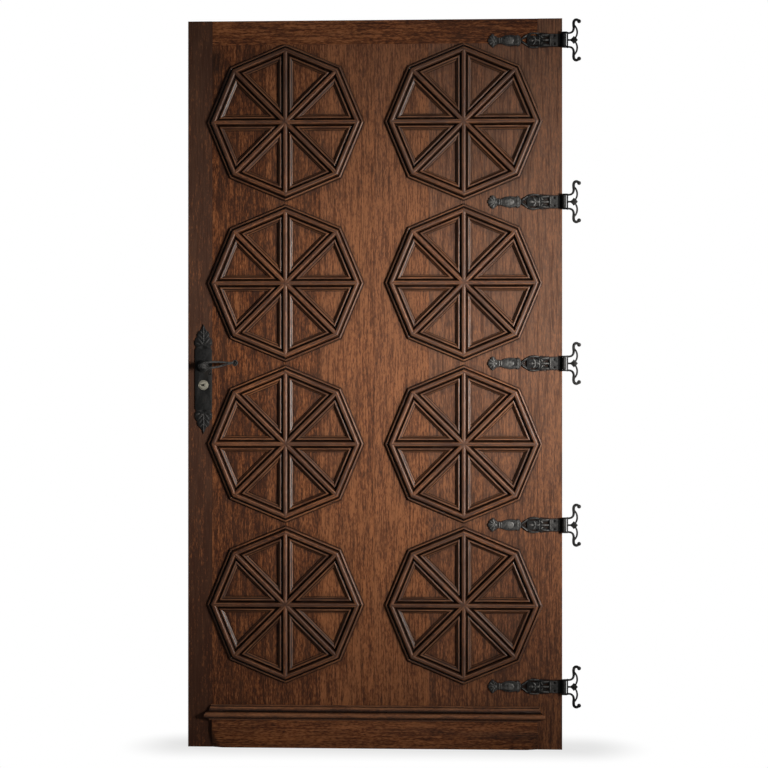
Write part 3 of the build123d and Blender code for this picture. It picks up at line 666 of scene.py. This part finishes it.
def from_curve(data):
    """Mesh of a curve, closed and with its faces outwards."""
    carrier = bpy.data.objects.new("carrier", data)
    mesh = bpy.data.meshes.new_from_object(carrier)
    bm = bmesh.new()
    bm.from_mesh(mesh)
    bpy.data.objects.remove(carrier)
    bpy.data.curves.remove(data)
    bpy.data.meshes.remove(mesh)
    bmesh.ops.remove_doubles(bm, verts=bm.verts, dist=0.01 * MM)
    bmesh.ops.recalc_face_normals(bm, faces=bm.faces)
    return bm


def forging(outlines, thick, soften):
    """Plate lying on its back, cut to closed outlines: the first is its edge, the rest are openings."""
    data = bpy.data.curves.new("outline", "CURVE")
    data.dimensions = "2D"
    data.fill_mode = "BOTH"
    data.extrude = (thick / 2 - soften) * MM
    data.bevel_depth = soften * MM
    data.offset = -soften * MM
    data.bevel_resolution = 1
    data.resolution_u = 4
    for outline in outlines:
        spline = data.splines.new("BEZIER")
        spline.bezier_points.add(len(outline) - 1)
        spline.use_cyclic_u = True
        for at, (x, y, *sharp) in zip(spline.bezier_points, outline):
            at.co = (x * MM, y * MM, 0)
        for at, (_, _, *sharp) in zip(spline.bezier_points, outline):
            at.handle_left_type = at.handle_right_type = "VECTOR" if sharp else "AUTO"
    plate = from_curve(data)
    bmesh.ops.translate(plate, verts=plate.verts, vec=(0, 0, thick / 2 * MM))
    return plate


def other_side(outline):
    """An outline's mirror image across the middle line."""
    return [(x, -y, *sharp) for x, y, *sharp in outline]


def round_hole(x, y, radius):
    """Round opening as four smooth points."""
    return [(x + radius, y), (x, y + radius), (x - radius, y), (x, y - radius)]


def boss(bm, at, half_long, half_wide, height, turn=0):
    """Raised oval, half sunk in the surface that its middle lies on."""
    size = Matrix.Diagonal((half_long * MM, half_wide * MM, height * MM, 1))
    place = Matrix.Translation(Vector(at) * MM) @ Matrix.Rotation(radians(turn), 4, "Z")
    bmesh.ops.create_uvsphere(bm, u_segments=16, v_segments=8, radius=1, matrix=place @ size)


def turned(section, steps):
    """Closed section of (radius, height) points spun about the upright axis."""
    bm = bmesh.new()
    ring = [bm.verts.new((radius * MM, 0, height * MM)) for radius, height in section]
    edges = [bm.edges.new((ring[i - 1], ring[i])) for i in range(len(ring))]
    bmesh.ops.spin(
        bm, geom=ring + edges, cent=(0, 0, 0), axis=(0, 0, 1), angle=2 * pi, steps=steps, use_merge=True,
    )
    bmesh.ops.remove_doubles(bm, verts=bm.verts, dist=0.001 * MM)
    bmesh.ops.recalc_face_normals(bm, faces=bm.faces)
    return bm


def score(bm, places):
    """Divides the faces along planes square to the X axis."""
    for place in places:
        geom = bm.verts[:] + bm.edges[:] + bm.faces[:]
        bmesh.ops.bisect_plane(bm, geom=geom, plane_co=(place * MM, 0, 0), plane_no=(1, 0, 0))


def screw(radius, depth):
    """Sunk screw: a low domed head with a sawn slot, its crown at height 0."""
    crown = [(radius, -0.9), (radius * 0.9, -0.5), (radius * 0.5, -0.1), (0, 0)]
    head = turned([(0, -depth), (radius, -depth), *crown], SCREW_STEPS)
    half_slot = radius * SCREW_SLOT
    score(head, (half_slot, half_slot * SCREW_LIP, -half_slot, -half_slot * SCREW_LIP))
    for v in head.verts:
        if abs(v.co.x) < half_slot * 1.05 * MM and v.co.z > -depth * 0.95 * MM:
            v.co.z -= SCREW_SLOT_DEPTH * MM
    return head


def set_screws(plate, places, thick):
    """Sinks a screw in each hole of a plate, its slot left where the turning stopped."""
    for along, across in places:
        place = Matrix.Translation((along * MM, across * MM, (thick - SCREW_SUNK) * MM))
        head = place @ Matrix.Rotation(chance.uniform(0, pi), 4, "Z")
        add_mesh(plate, screw(SCREW_HOLE - SCREW_PLAY, thick - SCREW_FOOT), head, **SCREW_LOOKS)


def shade_on_iron_edges(plate, thick, wanted=lambda v: False):
    """Paints shade on the sides of a plate and wherever else is wanted."""
    layer = plate.verts.layers.float.get("soot") or plate.verts.layers.float.new("soot")
    for v in plate.verts:
        v[layer] = SHADE_ON_IRON_SHARE if v.co.z < thick * SHADE_ON_IRON_UP_TO * MM or wanted(v) else 0.0


wrought_iron = surface("blacked_iron", iron)
strap = bmesh.new()
strap_edge = [STRAP_TIP, *STRAP_HALF, *other_side(reversed(STRAP_HALF))]
strap_openings = [FORK, CRESCENT, other_side(CRESCENT), EYE, other_side(EYE)]
strap_openings += [round_hole(*at, SCREW_HOLE) for at in STRAP_SCREWS]
strap_plate = forging([strap_edge, *strap_openings], IRON_THICK, IRON_SOFTEN)
score(strap_plate, (KNUCKLE_SHADOW_BAND, KNUCKLE_SHADOW_BAND + 1, *PIERCED, PIERCED[0] - 1, PIERCED[1] + 1))
shade_on_iron_edges(strap_plate, IRON_THICK, lambda v: v.co.x < (KNUCKLE_SHADOW_BAND + TOLERANCE) * MM)
add_mesh(strap, strap_plate, rubbed=STRAP_RUB_AND_LIGHT)
# The pierced part gets less rubbing and painted highlight than the rest of the strap.
rub_and_light = strap.verts.layers.float["rubbed"]
for v in strap.verts:
    if PIERCED[0] - TOLERANCE < v.co.x / MM < PIERCED[1] + TOLERANCE:
        v[rub_and_light] = PIERCED_RUB_AND_LIGHT
raised = bmesh.new()
for along, across, half_long, half_wide, height, turn in STRAP_RELIEF:
    for side in (1, -1) if across else (1,):
        at = (along, side * across, IRON_THICK - RELIEF_SUNK)
        boss(raised, at, half_long, half_wide, height, side * turn)
add_mesh(strap, raised, rubbed=RELIEF_RUB_AND_LIGHT)
set_screws(strap, STRAP_SCREWS, IRON_THICK)
knuckle_section = KNUCKLE_HALF + [(radius, -height) for radius, height in reversed(KNUCKLE_HALF)]
knuckle = turned(knuckle_section, KNUCKLE_STEPS)
toward_tip = Matrix(((-1, 0, 0, RIGHT), (0, 0, -1, FRONT), (0, 1, 0, 0), (0, 0, 0, 1)))
for i in range(1, HINGES + 1):
    level = Matrix.Translation((0, 0, middle_of(f"strap_{i}").z))
    hinge = bmesh.new()
    add_mesh(hinge, strap, level @ toward_tip)
    add_mesh(hinge, knuckle, level @ Matrix.Translation((*KNUCKLE_AT, 0)), rubbed=KNUCKLE_RUB_AND_LIGHT)
    bmesh.ops.recalc_face_normals(hinge, faces=hinge.faces)
    forged = piece(hinge, f"forged_strap_{i}", wrought_iron)
    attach(forged, "door_leaf")
    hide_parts(f"strap_{i}")

# Each jamb leaf holds the hinge pin between two ears on a narrow strip. From the strip two scrolled
# arms, two branches and a tulip on its stem are drawn out under the hammer, to lie flat on the jamb.
# Paths: distance past the leaf's edge, height from the middle line, half the width there.
STRIP_EDGE = 16.8
ARM_PATH = [
    (14, 20, 2.9), (20.5, 20, 2.8), (28.6, 23.4, 3.0), (32.4, 31.5, 3.5), (32.5, 42, 4.1), (32.6, 50, 4.1),
    (34.9, 55.7, 4.1), (40.7, 58, 4.0), (45.8, 56.2, 3.5), (48, 53.7, 3.0),
]
BULB_AT = (48, 53.5)
BULB_R = 5.8
BRANCH_PATH = [(33, 44, 2.2), (38.8, 36.5, 2.5), (42.2, 27, 2.7), (42, 16, 2.6), (38, 6, 2.3)]
STEM_PATH = [(14, 0, 3.0), (20, 0, 2.6), (31, 0, 2.9)]
TULIP_TIP = (19, 0, SHARP_POINT)
TULIP_HALF = [
    (25, 3.4), (29.4, 7.4), (32.5, 11.4, SHARP_POINT), (36, 9.2), (40, 5.6), (44.4, 0.3, SHARP_POINT),
]
TULIP_SOFTEN = 1.3
# Rib on the tulip: distance past the leaf's edge, half length, half width, height.
TULIP_RIB = (33, 8.5, 2.0, 1.3)
ROD_FLAT = 2.0
STRIP_ARRIS = 0.5
# How far the arms, bulbs and strip are rubbed and painted pale.
SCROLL_RUB_AND_LIGHT, BULB_RUB_AND_LIGHT, STRIP_RUB_AND_LIGHT = 0.12, 0.15, 0.08


def drawn_rod(path, half_thick):
    """Rod hammered along a path of (x, y, half width), to one half thickness, lying on its back."""
    data = bpy.data.curves.new("rod", "CURVE")
    data.dimensions = "3D"
    data.bevel_depth = MM
    data.bevel_resolution = 2
    data.resolution_u = 5
    data.use_fill_caps = True
    spline = data.splines.new("BEZIER")
    spline.bezier_points.add(len(path) - 1)
    for at, (x, y, half_width) in zip(spline.bezier_points, path):
        at.co = (x * MM, y * MM, 0)
        at.radius = half_width
    for at in spline.bezier_points:
        at.handle_left_type = at.handle_right_type = "AUTO"
    rod = from_curve(data)
    widest = max(half_width for x, y, half_width in path)
    bmesh.ops.scale(rod, verts=rod.verts, vec=(1, 1, half_thick / widest))
    bmesh.ops.translate(rod, verts=rod.verts, vec=(0, 0, half_thick * MM))
    return rod


scrolls = bmesh.new()
for side in (Matrix(), Matrix.Diagonal((1, -1, 1, 1))):
    for path in (ARM_PATH, BRANCH_PATH):
        add_mesh(scrolls, drawn_rod(path, ROD_FLAT), side, rubbed=SCROLL_RUB_AND_LIGHT)
    bulb = bmesh.new()
    boss(bulb, (*BULB_AT, ROD_FLAT), BULB_R, BULB_R, ROD_FLAT)
    add_mesh(scrolls, bulb, side, rubbed=BULB_RUB_AND_LIGHT)
add_mesh(scrolls, drawn_rod(STEM_PATH, ROD_FLAT), rubbed=SCROLL_RUB_AND_LIGHT)
tulip_edge = [TULIP_TIP, *TULIP_HALF, *other_side(reversed(TULIP_HALF))]
tulip = forging([tulip_edge], IRON_THICK, TULIP_SOFTEN)
boss(tulip, (TULIP_RIB[0], 0, IRON_THICK - RELIEF_SUNK), *TULIP_RIB[1:])
add_mesh(scrolls, tulip, rubbed=BULB_RUB_AND_LIGHT)
past_edge = Matrix(((1, 0, 0, RIGHT), (0, 0, -1, FRONT), (0, 1, 0, 0), (0, 0, 0, 1)))
for i in range(1, HINGES + 1):
    level = Matrix.Translation((0, 0, middle_of(f"jamb_leaf_{i}").z))
    strip = from_node(f"jamb_leaf_{i}")
    saw(strip, (RIGHT + STRIP_EDGE * MM, 0, 0), (1, 0, 0))
    ease(strip, STRIP_ARRIS * MM, 2)
    leaf = bmesh.new()
    add_mesh(leaf, strip, rubbed=STRIP_RUB_AND_LIGHT)
    add_mesh(leaf, scrolls, level @ past_edge)
    bmesh.ops.recalc_face_normals(leaf, faces=leaf.faces)
    forged = piece(leaf, f"forged_jamb_leaf_{i}", wrought_iron)
    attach(forged, "hinge_jamb")
    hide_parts(f"jamb_leaf_{i}")

# The mortise lock sits in the stile's edge: a steel case with its follower, a brushed faceplate held by
# two screws, a bevelled latch and a square bolt. The spindle joins the two levers.
STEEL_BODY = (0.33, 0.32, 0.305)
STEEL_DULL = (0.17, 0.165, 0.155)
EDGE_SCREW, EDGE_SCREW_DEPTH, EDGE_SCREW_SUNK = 3.6, 2.0, 0.02
EDGE_SCREW_INSET = 9 * MM
# Node, piece, body and how far the edges are eased.
LOCK_BARS = (
    ("latch_bolt", "bevelled_latch", "latch", 0.5), ("dead_bolt", "square_bolt", "bolt", 0.6),
    ("faceplate", "edge_plate", "door_leaf", 0.0),
)


def steel(root):
    """Plain brushed steel, dulled by handling."""
    place = root.node("TexCoord", {}, {}, "Object")
    brushed = mottle(place, (900, 900, 14), 2.0)
    dull = rise(mottle(place, (60, 60, 40), 3.0), 0.4, 0.75)
    stops = {"stops": [(0.0, STEEL_BODY), (1.0, STEEL_DULL)]}
    colour = root.node("ValToRGB", stops, {"Fac": dull * 0.7 + brushed * 0.3})
    bump = root.node("Bump", {}, {"Strength": 0.2, "Distance": 0.1 * MM, "Height": brushed}, "Normal")
    rough = 0.34 + dull * 0.2 + brushed * 0.1
    return {"Base Color": colour, "Roughness": rough, "Metallic": 1.0, "Normal": bump}


lock_steel = surface("brushed_steel", steel)
for name in ("lock_case", "follower", "spindle"):
    nodes[name].data.materials.clear()
    nodes[name].data.materials.append(lock_steel)
for name, title, body, soften in LOCK_BARS:
    shape = from_node(name)
    if soften:
        ease(shape, soften * MM, 2)
    bar = bmesh.new()
    add_mesh(bar, shape)
    if name == "faceplate":
        low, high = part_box(name)
        for z in (low.z + EDGE_SCREW_INSET, high.z - EDGE_SCREW_INSET):
            place = Matrix.Translation((low.x + EDGE_SCREW_SUNK * MM, 0, z))
            add_mesh(bar, screw(EDGE_SCREW, EDGE_SCREW_DEPTH), place @ Matrix.Rotation(-pi / 2, 4, "Y"))
    made = piece(bar, title, lock_steel)
    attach(made, body)
    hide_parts(name)

# A long blacked plate covers the lock on each face. Both of its ends are cut and chased as leaves that
# run out in a spear, and a small curl is raised beside the lever.
# Places on the plate: across from its middle line, then up from its middle.
PLATE_THICK = 3
PLATE_SOFTEN = 0.8
# How far the plate and its chasing are rubbed and painted pale.
PLATE_RUB_AND_LIGHT, CHASED_RUB_AND_LIGHT = 0.10, 0.28
PLATE_MIDDLE = middle_of("front_plate").z
LOCK_X = middle_of("front_plate").x
SPINDLE_UP = 37.5
SPINDLE_HOLE_HALF = 7
CYLINDER_UP = -17.5
CYLINDER_HOLE = 14.6
PLATE_QUARTER = [
    (24.5, 84, SHARP_POINT), (20, 93, SHARP_POINT), (24.2, 99), (25.4, 107), (23, 115.5),
    (17.5, 122, SHARP_POINT), (18, 129), (15.2, 135.6), (9, 140, SHARP_POINT), (6.2, 144.4), (3.2, 151),
]
PLATE_TIP = (0, 158.3, SHARP_POINT)
PLATE_SCREWS = [(0, 91), (0, -91)]
# Raised work: place across and up, half length, half width, height, turn in degrees.
PLATE_RELIEF = [
    (0, 124, 25, 2.4, 1.5, 90), (0, 147, 8, 2.2, 1.4, 90), (9.5, 109, 11.5, 3.4, 1.4, 52),
    (9, 122, 9.5, 2.8, 1.3, 48), (6, 134, 7, 2.2, 1.2, 52), (17, 102, 6.5, 2.8, 1.2, 24),
    (13, 92.5, 6, 1.7, 1.1, -8),
]
CURL_PATH = [
    (22, 24.5, 1.0), (17.4, 21, 1.4), (16.6, 15.4, 1.5), (20, 12.4, 1.5), (22.6, 15.2, 1.3),
    (20.2, 17.4, 1.0),
]
CURL_HALF_THICK, CURL_UP = 1.3, 1.8
# Curl and scroll core: little rubbed, darkened with painted shade.
SHADED_LOOKS = {"rubbed": 0.1, "soot": 0.4}
wide_half = [*PLATE_QUARTER, PLATE_TIP, *[(-x, y, *sharp) for x, y, *sharp in reversed(PLATE_QUARTER)]]
plate_edge = wide_half + other_side(reversed(wide_half))
square = [(1, 1), (-1, 1), (-1, -1), (1, -1)]
plate_openings = [
    [(x * SPINDLE_HOLE_HALF, SPINDLE_UP + y * SPINDLE_HOLE_HALF, SHARP_POINT) for x, y in square],
    round_hole(0, CYLINDER_UP, CYLINDER_HOLE),
    *[round_hole(*at, SCREW_HOLE) for at in PLATE_SCREWS],
]
flat_plate = forging([plate_edge, *plate_openings], PLATE_THICK, PLATE_SOFTEN)
shade_on_iron_edges(flat_plate, PLATE_THICK)
lock_plate = bmesh.new()
add_mesh(lock_plate, flat_plate, rubbed=PLATE_RUB_AND_LIGHT)
chased = bmesh.new()
for across, up, half_long, half_wide, height, turn in PLATE_RELIEF:
    for side in (1, -1) if across else (1,):
        for end in (1, -1):
            at = (side * across, end * up, PLATE_THICK - RELIEF_SUNK)
            boss(chased, at, half_long, half_wide, height, turn * side * end)
add_mesh(lock_plate, chased, rubbed=CHASED_RUB_AND_LIGHT)
curl = drawn_rod(CURL_PATH, CURL_HALF_THICK)
add_mesh(lock_plate, curl, Matrix.Translation((0, 0, CURL_UP * MM)), **SHADED_LOOKS)
set_screws(lock_plate, PLATE_SCREWS, PLATE_THICK)
on_front = Matrix(((1, 0, 0, LOCK_X), (0, 0, -1, FRONT), (0, 1, 0, PLATE_MIDDLE), (0, 0, 0, 1)))
to_back = Matrix.Diagonal((1, -1, 1, 1))
for name, face in (("front_plate", Matrix()), ("back_plate", to_back)):
    cover = bmesh.new()
    add_mesh(cover, lock_plate, face @ on_front)
    bmesh.ops.recalc_face_normals(cover, faces=cover.faces)
    made = piece(cover, name.replace("plate", "leafed_plate"), wrought_iron)
    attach(made, "door_leaf")
    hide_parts(name)

# Each lever is forged: a turned rose with three rings, a waisted neck on the spindle, and a split bar
# opened into an almond loop whose end is rolled into a scroll.
# Rose and neck: distance from the spindle's axis and height above the plate.
SPINDLE_Z = middle_of("spindle").z
LEVER_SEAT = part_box("front_lever")[1].y
LEVER_RISE = radians(5.5)
ROSE_SECTION = [
    (6, 0), (16.9, 0), (16.9, 1.6), (16.3, 2.2), (15.2, 2.5), (15.2, 3.2), (16.2, 3.6), (16.4, 4.6),
    (16, 5.8), (14.6, 6.4), (13.2, 6.7), (13.2, 7.3), (13.8, 7.8), (13.4, 8.8), (12, 9.4), (10.8, 9.7),
    (10.6, 10.4), (10, 11.6), (8.6, 12.2), (7.4, 14), (6.6, 18), (6.5, 22), (7.4, 26), (8.8, 28.6),
    (9, 31), (9, 38), (8.2, 40), (6, 40.9), (0, 41), (0, 28), (5.8, 28),
]
ROSE_STEPS = 40
GRIP_BACK, GRIP_FRONT = 29, 41
GRIP_SOFTEN = 2.6
# How far the rose, grip and scroll are rubbed and painted pale.
ROSE_RUB_AND_LIGHT, GRIP_RUB_AND_LIGHT, ROLL_RUB_AND_LIGHT = 0.2, 0.75, 0.9
GRIP_ROOT = (-6, 0)
GRIP_HALF = [
    (2, 9.4), (14, 10.9), (28, 11.2), (44, 10.2), (60, 7.6), (71, 5.2), (79, 4.1), (90, 3.9, SHARP_POINT),
]
SLOT_START = (11.2, 0)
SLOT_HALF = [(14.4, 3.2), (21, 4.8), (28, 5), (40, 4.5), (56, 2.8)]
SLOT_END = (72, 0, SHARP_POINT)
ROLL_AT = 96
ROLL_TURNS = 1.7
ROLL_START = -0.75 * pi
ROLL_POINTS = 16
ROLL_OUT, ROLL_IN = 8.3, 1.8
ROLL_BAR_OUT, ROLL_BAR_IN = 2.0, 1.4
ROLL_HALF_THICK, ROLL_UP = 5.8, 0.2
CORE_R, CORE_HALF_THICK = 7, 4.2


def rolled_end():
    """Bar of the scroll: a flat spiral that closes on itself, nearly as thick as the grip."""
    path = []
    for i in range(ROLL_POINTS):
        share = i / (ROLL_POINTS - 1)
        angle = share * ROLL_TURNS * 2 * pi + ROLL_START
        reach = ROLL_OUT + (ROLL_IN - ROLL_OUT) * share
        half_width = ROLL_BAR_OUT + (ROLL_BAR_IN - ROLL_BAR_OUT) * share
        path.append((ROLL_AT + reach * cos(angle), reach * sin(angle), half_width))
    return drawn_rod(path, ROLL_HALF_THICK)


lever = bmesh.new()
add_mesh(lever, turned(ROSE_SECTION, ROSE_STEPS), rubbed=ROSE_RUB_AND_LIGHT)
slot = [SLOT_START, *SLOT_HALF, SLOT_END, *other_side(reversed(SLOT_HALF))]
grip_edge = [GRIP_ROOT, *GRIP_HALF, *other_side(reversed(GRIP_HALF))]
grip = forging([grip_edge, slot], GRIP_FRONT - GRIP_BACK, GRIP_SOFTEN)
rising = Matrix.Rotation(LEVER_RISE, 4, "Z")
add_mesh(lever, grip, rising @ Matrix.Translation((0, 0, GRIP_BACK * MM)), rubbed=GRIP_RUB_AND_LIGHT)
roll_place = rising @ Matrix.Translation((0, 0, (GRIP_BACK + ROLL_UP) * MM))
add_mesh(lever, rolled_end(), roll_place, rubbed=ROLL_RUB_AND_LIGHT)
core = bmesh.new()
boss(core, (ROLL_AT, 0, (GRIP_BACK + GRIP_FRONT) / 2), CORE_R, CORE_R, CORE_HALF_THICK)
add_mesh(lever, core, rising, **SHADED_LOOKS)
on_seat = Matrix(((1, 0, 0, LOCK_X), (0, 0, -1, LEVER_SEAT), (0, 1, 0, SPINDLE_Z), (0, 0, 0, 1)))
for name, face in (("front_lever", Matrix()), ("back_lever", to_back)):
    handle = bmesh.new()
    add_mesh(handle, lever, face @ on_seat)
    bmesh.ops.recalc_face_normals(handle, faces=handle.faces)
    made = piece(handle, name.replace("lever", "forged_lever"), wrought_iron)
    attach(made, "lever_set")
    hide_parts(name)

# The lock cylinder runs right through the leaf: a turned ring with a plug that the key turns, both of
# pale dull brass, with the keyway's drop lying on its side.
BRASS_BODY = (0.44, 0.42, 0.35)
BRASS_DULL = (0.21, 0.195, 0.145)
CYLINDER_ARRIS = 0.35 * MM
# Node, piece and body.
CYLINDER_PARTS = (
    ("cylinder_body", "cylinder_ring", "door_leaf"), ("cylinder_plug", "key_plug", "key_core"),
)


def brass(root):
    """Pale brass, turned and dulled by fingers."""
    place = root.node("TexCoord", {}, {}, "Object")
    cloud = mottle(place, (120, 120, 120), 3.0)
    turning = mottle(place, (1500, 1500, 1500), 1.0)
    stops = {"stops": [(0.25, BRASS_BODY), (0.8, BRASS_DULL)]}
    colour = root.node("ValToRGB", stops, {"Fac": cloud * 0.8 + turning * 0.2})
    bump = root.node("Bump", {}, {"Strength": 0.2, "Distance": 0.15 * MM, "Height": turning}, "Normal")
    return {"Base Color": colour, "Roughness": 0.42 + cloud * 0.15, "Metallic": 0.75, "Normal": bump}


pale_brass = surface("dull_brass", brass)
for name, title, body in CYLINDER_PARTS:
    part = from_node(name)
    ease(part, CYLINDER_ARRIS, 2)
    made = piece(part, title, pale_brass)
    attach(made, body)
    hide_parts(name)

# The room: a pale floor that runs out into a white studio, a soft window on the right at half height,
# another behind the leaf for its back, and a camera level with the middle of the leaf and a little to
# the right of it.
FLOOR_HALF = 12
FLOOR = (0.60, 0.60, 0.59)
FLOOR_NEAR, FLOOR_FAR = 0.02, 0.22
FLOOR_GLOW = 0.75
# Only what lies behind the leaf shows white in a gloss: distance on the floor, direction in the sky.
FLOOR_BEHIND, SKY_BEHIND = (0.0, 0.3), (-0.1, 0.3)
ROOM_LIGHT = 0.11
VIEW_FROM = (0.21, -5.0, 1.05)
VIEW_AT = (0.0, 0.0, 1.05)
LENS = 81
LAMP_SPREAD = radians(43)
WINDOWS = {
    "window": {
        "place": (2.7, -2.3, 1.20), "aim": (0.0, 0, 1.12), "side": 0.8, "power": 15.8,
        "colour": (1.0, 0.97, 0.93),
    },
    "back_window": {
        "place": (-2.9, 3.2, 1.25), "aim": (-0.1, 0, 1.14), "side": 0.9, "power": 14.0,
        "colour": (1.0, 0.98, 0.95),
    },
}
scene = bpy.context.scene
scene.view_settings.view_transform = "Standard"


def seen(root):
    """1 for what is seen straight, and 1 for what is seen in a gloss or through glass."""
    straight = root.node("LightPath", {}, {}, "Is Camera Ray")
    gloss = root.node("LightPath", {}, {}, "Is Glossy Ray")
    through = root.node("LightPath", {}, {}, "Is Transmission Ray")
    return straight, root.maths("MAXIMUM", gloss, through)


def pale(root):
    """Pale floor: it takes the shadow near the leaf and is white further off."""
    x, y = parts_of(root.node("TexCoord", {}, {}, "Object"))[:2]
    beside = root.maths("MAXIMUM", root.maths("ABSOLUTE", x) - cad_box[1][0], 0.0)
    away = root.maths("SQRT", beside * beside + y * y)
    straight, mirrored = seen(root)
    seen_white = root.maths("MAXIMUM", straight, mirrored * rise(y, *FLOOR_BEHIND))
    white = (FLOOR_GLOW + rise(away, FLOOR_NEAR, FLOOR_FAR) * (1 - FLOOR_GLOW)) * seen_white
    return {
        "Base Color": tint((*FLOOR, 1), (0, 0, 0), white),
        "Emission Color": tint((0, 0, 0, 1), (1, 1, 1), white),
        "Emission Strength": 1.0,
        "Roughness": 0.9,
        "Specular IOR Level": 0.0,
    }


floor_mesh = bmesh.new()
bmesh.ops.create_grid(floor_mesh, x_segments=2, y_segments=2, size=FLOOR_HALF)
floor = piece(floor_mesh, "floor", surface("pale_floor", pale))

world = bpy.data.worlds.new("studio")
world.use_nodes = True
scene.world = world
sky = Shade(world.node_tree)
toward = parts_of(sky.node("TexCoord", {}, {}, "Generated"))[1]
straight, mirrored = seen(sky)
white = sky.maths("MAXIMUM", straight, mirrored * rise(toward, *SKY_BEHIND))
backing = world.node_tree.nodes["Background"]
backing.inputs["Color"].default_value = (1, 1, 1, 1)
world.node_tree.links.new((ROOM_LIGHT + white * (1 - ROOM_LIGHT)).socket, backing.inputs["Strength"])


def aimed(name, data, place, aim):
    """Lamp or camera that stands at a place and looks at a point."""
    made = bpy.data.objects.new(name, data)
    made.location = place
    made.rotation_euler = (Vector(aim) - Vector(place)).to_track_quat("-Z", "Y").to_euler()
    scene.collection.objects.link(made)
    return made


def lamp(name, place, aim, side, power, colour):
    """Soft square lamp aimed at a point."""
    data = bpy.data.lights.new(name, "AREA")
    data.shape = "SQUARE"
    data.size = side
    data.energy = power
    data.spread = LAMP_SPREAD
    data.color = colour
    aimed(name, data, place, aim)


for name, values in WINDOWS.items():
    lamp(name, **values)

camera_data = bpy.data.cameras.new("camera")
camera_data.lens = LENS
scene.camera = aimed("camera", camera_data, VIEW_FROM, VIEW_AT)
